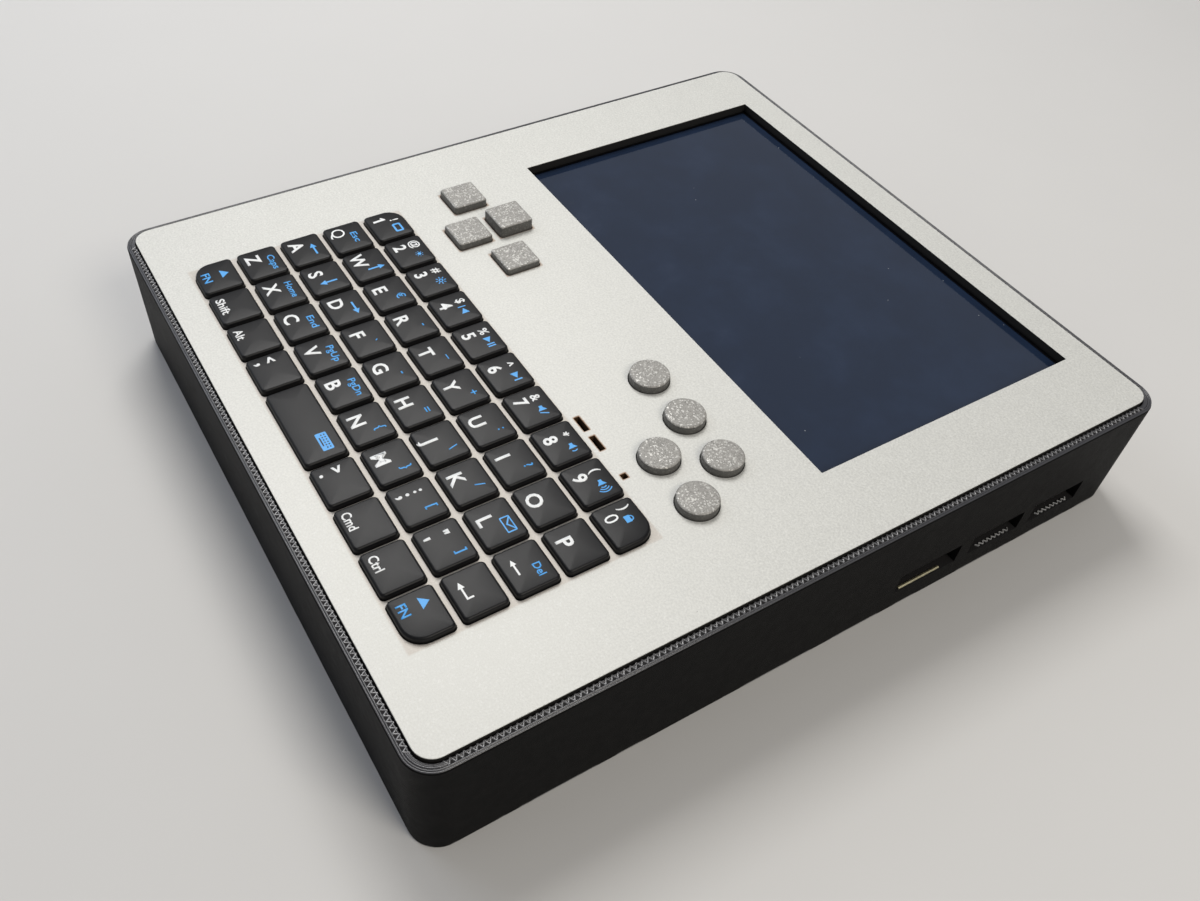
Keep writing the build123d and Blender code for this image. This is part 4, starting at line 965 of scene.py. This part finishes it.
def legend_shapes(key, keys):
    """The flat white and blue signs of one key, at level zero."""
    _, row, column, _, low, high = key
    middle = Vector(middle_of(low, high))
    main, upper, blue = ROWS[row][column]
    white_shape, blue_shape = bmesh.new(), bmesh.new()

    def at(x, y):
        return middle.x + x * MM, middle.y + y * MM

    bold = keys.bold
    if main in WORD_PLACES:
        add_text(white_shape, main, at(*WORD_PLACES[main]), keys.small, bold * 0.5, WORD_WIDTHS[main] * MM)
    elif main in (",", ".", ";", "'"):
        low_sign = {",": (-2.5, -2.45), ".": (-2.3, -2.65), ";": (-1.95, -1.9), "'": (-2.15, -2.3)}[main]
        add_text(white_shape, main, at(*low_sign), keys.letter, bold, middle=True)
        add_text(white_shape, upper, at(*UPPER_PLACES[upper]), keys.small * 1.25, bold, middle=True)
    elif main in ("enter", "back"):
        add_sign(white_shape, main, at(-0.5, -1.85), keys.letter, bold)
    elif main:
        height = keys.letter * (0.92 if main.isdigit() else 1)
        place = at(LETTER_PLACE[0] + LETTER_SHIFTS.get(main, 0), LETTER_PLACE[1])
        if main == "1":
            add_sign(white_shape, main, place, height, bold)
        else:
            add_text(white_shape, main, place, height, 0.0 if main in "Q0" else bold)
        if upper:
            add_text(white_shape, upper, at(*UPPER_PLACES[upper]), keys.small * 1.1, bold * 0.5, middle=True)
    if blue == "fn":
        shift = -1.65 if column else 0.0
        add_sign(blue_shape, "fn", at(shift, 1.5), keys.small, 0)
        add_text(blue_shape, "FN", at(shift, -2.2), keys.small, bold * 0.5, (2.6 if column else 3.0) * MM)
    elif blue in WORD_PLACES:
        width = WORD_WIDTHS[blue] * MM
        add_text(blue_shape, blue, at(*WORD_PLACES[blue]), keys.small * 0.85, bold * 0.3, width)
    elif blue:
        add_sign(blue_shape, blue, at(*BLUE_PLACES[blue]), keys.small * 1.05, bold * 0.3)
    return white_shape, blue_shape


def slice_up(flat, step):
    """Cuts flat signs along a grid, so that they can follow a curved surface."""
    if not flat.verts:
        return
    for axis in range(2):
        low = min(vertex.co[axis] for vertex in flat.verts)
        high = max(vertex.co[axis] for vertex in flat.verts)
        across = Vector([float(axis == other) for other in range(3)])
        for number in range(1, math.ceil((high - low) / step)):
            parts = flat.verts[:] + flat.edges[:] + flat.faces[:]
            place = across * (low + number * step)
            bmesh.ops.bisect_plane(flat, geom=parts, dist=1e-8, plane_co=place, plane_no=across)


def print_on(flat, surface, lift):
    """Gives flat signs a thickness and lays them on a key's surface."""
    slice_up(flat, SLICE)
    made = bmesh.ops.extrude_face_region(flat, geom=flat.faces[:])
    upper = {item for item in made["geom"] if isinstance(item, bmesh.types.BMVert)}
    for vertex in flat.verts:
        hit = surface.ray_cast(Vector((vertex.co.x, vertex.co.y, 1.0)), Vector((0, 0, -1)))[0]
        level = hit.z if hit else PLATE_TOP
        vertex.co.z = level + (lift if vertex in upper else -3 * lift)
    bmesh.ops.recalc_face_normals(flat, faces=flat.faces)


def merge(target, source):
    """Adds one bmesh to another and frees it."""
    holder = bpy.data.meshes.new("part")
    source.to_mesh(holder)
    source.free()
    target.from_mesh(holder)
    bpy.data.meshes.remove(holder)


def node_group(name, sizes):
    """An empty Geometry Nodes tree with a geometry, a material and named lengths as inputs."""
    tree = bpy.data.node_groups.new(name, "GeometryNodeTree")
    tree.interface.new_socket("Geometry", in_out="INPUT", socket_type="NodeSocketGeometry")
    for size in sizes:
        tree.interface.new_socket(size, in_out="INPUT", socket_type="NodeSocketFloat")
    tree.interface.new_socket("Material", in_out="INPUT", socket_type="NodeSocketMaterial")
    tree.interface.new_socket("Geometry", in_out="OUTPUT", socket_type="NodeSocketGeometry")
    start = tree.nodes.new("NodeGroupInput")
    end = tree.nodes.new("NodeGroupOutput")

    def add(kind, settings=None, inputs=None):
        node = tree.nodes.new(kind)
        for key, value in (settings or {}).items():
            setattr(node, key, value)
        for key, value in (inputs or {}).items():
            if isinstance(value, bpy.types.NodeSocket):
                tree.links.new(value, node.inputs[key])
            else:
                node.inputs[key].default_value = value
        return node

    return tree, start.outputs, end.inputs, add


def close_tree(add, outputs, geometry_socket, end):
    """Ends a tree in Realize Instances and Set Material."""
    real = add("GeometryNodeRealizeInstances", inputs={"Geometry": geometry_socket})
    inputs = {"Geometry": real.outputs["Geometry"], "Material": outputs["Material"]}
    dressed = add("GeometryNodeSetMaterial", inputs=inputs)
    dressed.id_data.links.new(dressed.outputs["Geometry"], end["Geometry"])


def stroke_tree():
    """Zigzag strokes along a path, each a low ridge between the band's two sides."""
    tree, given, end, add = node_group("printed_strokes", ["Pitch", "Band", "Width", "Height"])
    inputs = {"Curve": given["Geometry"], "Length": given["Pitch"]}
    points = add("GeometryNodeCurveToPoints", {"mode": "LENGTH"}, inputs)

    def reckon(operation, *terms):
        return add("ShaderNodeMath", {"operation": operation}, dict(enumerate(terms))).outputs[0]

    index = add("GeometryNodeInputIndex")
    sign = reckon("MULTIPLY_ADD", reckon("MODULO", index.outputs[0], 2.0), 2.0, -1.0)
    turn = reckon("MULTIPLY", reckon("ARCTAN2", given["Band"], given["Pitch"]), sign)
    lean = add("ShaderNodeCombineXYZ", inputs={"Z": turn})
    along = {"Vector": points.outputs["Tangent"]}
    align = add("FunctionNodeAlignRotationToVector", {"axis": "X", "pivot_axis": "Z"}, along)
    euler = add("FunctionNodeEulerToRotation", inputs={0: lean.outputs[0]})
    inputs = {"Rotation": align.outputs[0], 1: euler.outputs[0]}
    rotate = add("FunctionNodeRotateRotation", {"rotation_space": "LOCAL"}, inputs)
    square = reckon("MULTIPLY", given["Band"], given["Band"])
    long = reckon("SQRT", reckon("MULTIPLY_ADD", given["Pitch"], given["Pitch"], square))
    rod = add("GeometryNodeMeshCylinder", inputs={"Vertices": 8, "Radius": 0.5, "Depth": 1.0})
    inputs = {"Geometry": rod.outputs["Mesh"], "Rotation": (0, math.pi / 2, 0)}
    lay = add("GeometryNodeTransform", inputs=inputs)
    wobble = add("FunctionNodeRandomValue", {"data_type": "FLOAT"}, {2: 0.75, 3: 1.15, "Seed": SEED})
    tall = reckon("MULTIPLY", reckon("MULTIPLY", given["Height"], wobble.outputs[1]), 2.0)
    size = add("ShaderNodeCombineXYZ", inputs={"X": long, "Y": given["Width"], "Z": tall})
    ridges = add("GeometryNodeInstanceOnPoints", inputs={
        "Points": points.outputs["Points"],
        "Instance": lay.outputs["Geometry"],
        "Rotation": rotate.outputs[0],
        "Scale": size.outputs[0],
    })
    close_tree(add, given, ridges.outputs["Instances"], end)
    return tree


def bead_tree():
    """One printed line along a path: a flat round ridge."""
    tree, given, end, add = node_group("printed_bead", ["Width", "Height"])
    ring = add("GeometryNodeCurvePrimitiveCircle", {"mode": "RADIUS"}, {"Resolution": 8, "Radius": 1.0})
    half = add("ShaderNodeMath", {"operation": "MULTIPLY"}, {0: given["Width"], 1: 0.5})
    size = add("ShaderNodeCombineXYZ", inputs={"X": half.outputs[0], "Y": given["Height"], "Z": 1.0})
    inputs = {"Geometry": ring.outputs["Curve"], "Scale": size.outputs[0]}
    section = add("GeometryNodeTransform", inputs=inputs)
    sweep = add("GeometryNodeCurveToMesh", inputs={
        "Curve": given["Geometry"],
        "Profile Curve": section.outputs["Geometry"],
        "Fill Caps": True,
    })
    close_tree(add, given, sweep.outputs["Mesh"], end)
    return tree


def path_object(name, paths, closed):
    """A curve object of straight-sided paths."""
    curve = bpy.data.curves.new(name, "CURVE")
    curve.dimensions = "3D"
    for path in paths:
        spline = curve.splines.new("POLY")
        spline.points.add(len(path) - 1)
        for point, place in zip(spline.points, path):
            point.co = (*place, 1)
        spline.use_cyclic_u = closed
    holder = bpy.data.objects.new(name, curve)
    bpy.context.scene.collection.objects.link(holder)
    return holder


def grown(name, tree, paths, closed, sizes, material):
    """The plain mesh that a Geometry Nodes tree makes along paths."""
    holder = path_object(name, paths, closed)
    modifier = holder.modifiers.new("Ridges", "NODES")
    modifier.node_group = tree
    values = {**sizes, "Material": material}
    for item in tree.interface.items_tree:
        if item.in_out == "INPUT" and item.name in values:
            modifier[item.identifier] = values[item.name]
    bpy.context.view_layer.update()
    return plain_mesh(holder, name)


def joined(name, meshes):
    """One mesh from several that share a material."""
    shape = bmesh.new()
    for mesh in meshes:
        shape.from_mesh(mesh)
        bpy.data.meshes.remove(mesh)
    mesh = bpy.data.meshes.new(name)
    shape.to_mesh(mesh)
    shape.free()
    mesh.materials.clear()
    mesh.shade_smooth()
    mesh.set_sharp_from_angle(angle=math.radians(50))
    return mesh


def case_loop(inset, level, steps=10):
    """A closed line round the case, inset from its outer edge."""
    width = CASE_HIGH.x - CASE_LOW.x - 2 * inset
    length = CASE_HIGH.y - CASE_LOW.y - 2 * inset
    outer = RIM_WIDTH + bpy.context.scene.handheld_plate.corner
    return [(x, y, level) for x, y in rounded((0, 0), width, length, [outer - inset] * 4, steps)]


class HANDHELD_OT_finishes(Operator):
    """Give every packed piece the material of its slot"""

    bl_idname = "handheld.finishes"
    bl_label = "Finishes"

    def execute(self, context):
        made = node_finishes(context.scene)
        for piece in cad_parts.values():
            for index, material in enumerate(piece.data.materials):
                piece.data.materials[index] = made[material.name]
        return {"FINISHED"}


class HANDHELD_OT_plate(Operator):
    """Make the front plate with its openings"""

    bl_idname = "handheld.plate"
    bl_label = "Front plate"

    def execute(self, context):
        mesh = plate_mesh(context.scene.handheld_plate, context.scene.handheld_keys)
        piece = place_piece("front_plate_dressed", mesh, CASE, [finish_of("plate_silver")])
        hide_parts("front_plate")
        return {"FINISHED"}


class HANDHELD_OT_rim(Operator):
    """Lay the printed lines on the case's rim"""

    bl_idname = "handheld.rim"
    bl_label = "Printed rim"

    def execute(self, context):
        rim = context.scene.handheld_rim
        # The rim's lines and strokes are the case's black plastic painted lighter, as lit lines; the strokes
        # are lightest, as painted glints.
        line = printed_finish("printed_line", (0.009, 0.009, 0.010), 0.32, 0.004, 0.7)
        painted_glint = printed_finish("printed_stroke", (0.026, 0.026, 0.027), 0.26, 0.004, 1.0)
        bead = bead_tree()
        sizes = {"Width": rim.line, "Height": rim.height}
        half = rim.line / 2
        loops = [case_loop(inset, RIM_TOP) for inset in (half + 0.12 * MM, 3 * half + 0.12 * MM)]
        loops.append(case_loop(RIM_WIDTH - half - 0.28 * MM, RIM_TOP))
        meshes = [grown("rim_beads", bead, loops, True, sizes, line)]
        middle = 4 * half + 0.12 * MM + rim.band / 2
        corner = RIM_WIDTH + context.scene.handheld_plate.corner
        reach_x = CASE_HIGH.x - corner
        reach_y = CASE_HIGH.y - corner
        edge_x = CASE_HIGH.x - middle
        edge_y = CASE_HIGH.y - middle
        straight = [
            [(-reach_x, -edge_y, RIM_TOP), (reach_x, -edge_y, RIM_TOP)],
            [(edge_x, -reach_y, RIM_TOP), (edge_x, reach_y, RIM_TOP)],
            [(reach_x, edge_y, RIM_TOP), (-reach_x, edge_y, RIM_TOP)],
            [(-edge_x, reach_y, RIM_TOP), (-edge_x, -reach_y, RIM_TOP)],
        ]
        strokes = {"Pitch": rim.pitch, "Band": rim.band, "Width": rim.line, "Height": 1.4 * rim.height}
        mesh = grown("rim_strokes", stroke_tree(), straight, False, strokes, painted_glint)
        place_piece("rim_strokes", joined("rim_strokes", [mesh]), CASE, [painted_glint])
        arcs = []
        for inset in (middle - rim.line * 0.7, middle, middle + rim.line * 0.7):
            loop = case_loop(inset, RIM_TOP)
            steps = len(loop) // 4
            arcs += [loop[turn * steps:(turn + 1) * steps] for turn in range(4)]
        meshes.append(grown("rim_arcs", bead, arcs, False, sizes, line))
        place_piece("rim_lines", joined("rim_lines", meshes), CASE, [line])
        return {"FINISHED"}


class HANDHELD_OT_sockets(Operator):
    """Lay the printed sills and the metal lip in the socket openings"""

    bl_idname = "handheld.sockets"
    bl_label = "Socket openings"

    def execute(self, context):
        rim = context.scene.handheld_rim
        # The sills are the case's black plastic painted much lighter, as if lit.
        painted_glint = printed_finish("sill_line", (0.10, 0.10, 0.10), 0.24, 0.004, 1.0)
        x = CASE_HIGH.x - 0.6 * MM
        sills = []
        for centre, width in SOCKET_OPENINGS[1:]:
            sills.append([(x, centre - width / 4, SOCKET_SILL), (x, centre + width * 0.36, SOCKET_SILL)])
        strokes = {"Pitch": rim.pitch, "Band": 0.65 * MM, "Width": rim.line, "Height": 3 * rim.height}
        mesh = grown("sill_lines", stroke_tree(), sills, False, strokes, painted_glint)
        place_piece("sill_lines", joined("sill_lines", [mesh]), CASE, [painted_glint])
        centre, width = SOCKET_OPENINGS[0]
        lip = [[(x, centre - width * 0.4, SOCKET_SILL), (x, centre + width * 0.26, SOCKET_SILL)]]
        sizes = {"Width": 0.7 * MM, "Height": 0.3 * MM}
        metal = simple_finish("lip_metal", (0.62, 0.57, 0.38), 0.35, 1.0, 1.0, 0.35, 0.03)
        mesh = grown("socket_lip", bead_tree(), lip, False, sizes, metal)
        place_piece("socket_lip", joined("socket_lip", [mesh]), CASE, [metal])
        return {"FINISHED"}


class HANDHELD_OT_keys(Operator):
    """Make the keys and print their signs, one mesh for each moving body"""

    bl_idname = "handheld.keys"
    bl_label = "Keys"

    def execute(self, context):
        keys = context.scene.handheld_keys
        white = ink_finish("white_ink", keys.white, 0.42)
        blue = ink_finish("blue_ink", keys.blue, 0.42)
        bodies = {}
        for place in key_places():
            shape = key_shape(place, keys)
            bmesh.ops.recalc_face_normals(shape, faces=shape.faces)
            surface = BVHTree.FromBMesh(shape)
            prints = legend_shapes(place, keys)
            for flat in prints:
                print_on(flat, surface, keys.lift)
            group = bodies.setdefault(place[0], (bmesh.new(), bmesh.new(), bmesh.new()))
            for target, source in zip(group, (shape, *prints)):
                merge(target, source)
        for node, (shape, white_shape, blue_shape) in bodies.items():
            mesh = mesh_from(node + "_rubber", shape, 40)
            piece = place_piece(node + "_rubber", mesh, node, [finish_of("key_rubber")])
            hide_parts(node)
            for tail, flat, ink in (("_white", white_shape, white), ("_blue", blue_shape, blue)):
                if flat.faces:
                    place_piece(node + tail, mesh_from(node + tail, flat), node, [ink])
        return {"FINISHED"}


class HANDHELD_OT_caps(Operator):
    """Make the four square and five round button caps"""

    bl_idname = "handheld.caps"
    bl_label = "Button caps"

    def execute(self, context):
        caps = context.scene.handheld_caps
        for node in DIRECTION_NODES + ACTION_NODES:
            mesh = mesh_from(node + "_cap", cap_shape(node, caps, node in ACTION_NODES), 50)
            piece = place_piece(node + "_cap", mesh, node, [finish_of("cap_speckle")])
            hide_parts(node)
        return {"FINISHED"}


class HANDHELD_OT_stage(Operator):
    """Set up the floor, the lamps and the camera"""

    bl_idname = "handheld.stage"
    bl_label = "Stage"

    def lamp(self, name, place, size, power, tone):
        """A square lamp that faces the object."""
        data = bpy.data.lights.new(name, "AREA")
        data.shape = "SQUARE"
        data.size = size
        data.energy = power
        data.color = tone
        lamp = bpy.data.objects.new(name, data)
        lamp.location = place
        lamp.rotation_euler = Vector(place).to_track_quat("Z", "Y").to_euler()
        bpy.context.scene.collection.objects.link(lamp)

    def execute(self, context):
        stage = context.scene.handheld_stage
        scene = context.scene
        scene.view_settings.view_transform = "Standard"
        bpy.ops.mesh.primitive_grid_add(x_subdivisions=8, y_subdivisions=8, size=3.0)
        floor = context.object
        floor.name = "floor"
        finish = Finish("floor_paper", {})
        tint = finish.noise(40.0, 3.0)
        low = shade(stage.floor, 0.97)
        tone = finish.mix(tint, low, stage.floor)
        material = finish.use({"Base Color": tone, "Roughness": tint * 0.1 + 0.8})
        floor.data.materials.append(material)
        self.lamp("overhead_lamp", (-0.36, 0.10, 0.62), 0.30, stage.overhead, (1.0, 0.985, 0.96))
        self.lamp("warm_lamp", (0.55, 0.10, 0.60), 0.30, stage.warm, (1.0, 0.93, 0.82))
        self.lamp("cool_lamp", (-0.60, -0.30, 0.50), 0.40, stage.cool, (0.80, 0.87, 1.0))
        world = bpy.data.worlds.new("room")
        world.use_nodes = True
        background = world.node_tree.nodes["Background"]
        background.inputs["Color"].default_value = (0.93, 0.95, 1.0, 1)
        background.inputs["Strength"].default_value = stage.room
        scene.world = world
        data = bpy.data.cameras.new("camera")
        data.sensor_width = SENSOR_WIDTH
        data.lens = stage.lens
        data.shift_x, data.shift_y = CAMERA_SHIFT
        data.clip_start = 0.005
        camera = bpy.data.objects.new("camera", data)
        camera.location = stage.camera_place
        camera.rotation_euler = stage.camera_turn
        scene.collection.objects.link(camera)
        scene.camera = camera
        return {"FINISHED"}


class HANDHELD_PT_panel(Panel):
    """Buttons and sizes of the handheld computer"""

    bl_idname = "HANDHELD_PT_panel"
    bl_label = "Handheld computer"
    bl_space_type = "VIEW_3D"
    bl_region_type = "UI"
    bl_category = "Handheld"

    def draw(self, context):
        for operator in OPERATORS:
            self.layout.operator(operator.bl_idname)
        for name, group in GROUPS.items():
            box = self.layout.box()
            box.label(text=group.__doc__)
            for setting in group.__annotations__:
                box.prop(getattr(context.scene, name), setting)


GROUPS = {
    "handheld_plate": PlateSettings,
    "handheld_rim": RimSettings,
    "handheld_keys": KeySettings,
    "handheld_caps": CapSettings,
    "handheld_screen": ScreenSettings,
    "handheld_stage": StageSettings,
}
OPERATORS = (
    HANDHELD_OT_finishes,
    HANDHELD_OT_plate,
    HANDHELD_OT_rim,
    HANDHELD_OT_sockets,
    HANDHELD_OT_keys,
    HANDHELD_OT_caps,
    HANDHELD_OT_stage,
)


def register():
    for group in GROUPS.values():
        bpy.utils.register_class(group)
    for operator in OPERATORS:
        bpy.utils.register_class(operator)
    bpy.utils.register_class(HANDHELD_PT_panel)
    for name, group in GROUPS.items():
        setattr(bpy.types.Scene, name, PointerProperty(type=group))


def unregister():
    for name in GROUPS:
        delattr(bpy.types.Scene, name)
    bpy.utils.unregister_class(HANDHELD_PT_panel)
    for operator in reversed(OPERATORS):
        bpy.utils.unregister_class(operator)
    for group in reversed(list(GROUPS.values())):
        bpy.utils.unregister_class(group)


def main():
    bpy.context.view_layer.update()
    register()
    bpy.ops.handheld.finishes()
    bpy.ops.handheld.plate()
    bpy.ops.handheld.rim()
    bpy.ops.handheld.sockets()
    bpy.ops.handheld.keys()
    bpy.ops.handheld.caps()
    bpy.ops.handheld.stage()
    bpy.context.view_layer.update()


if __name__ == "__main__":
    main()
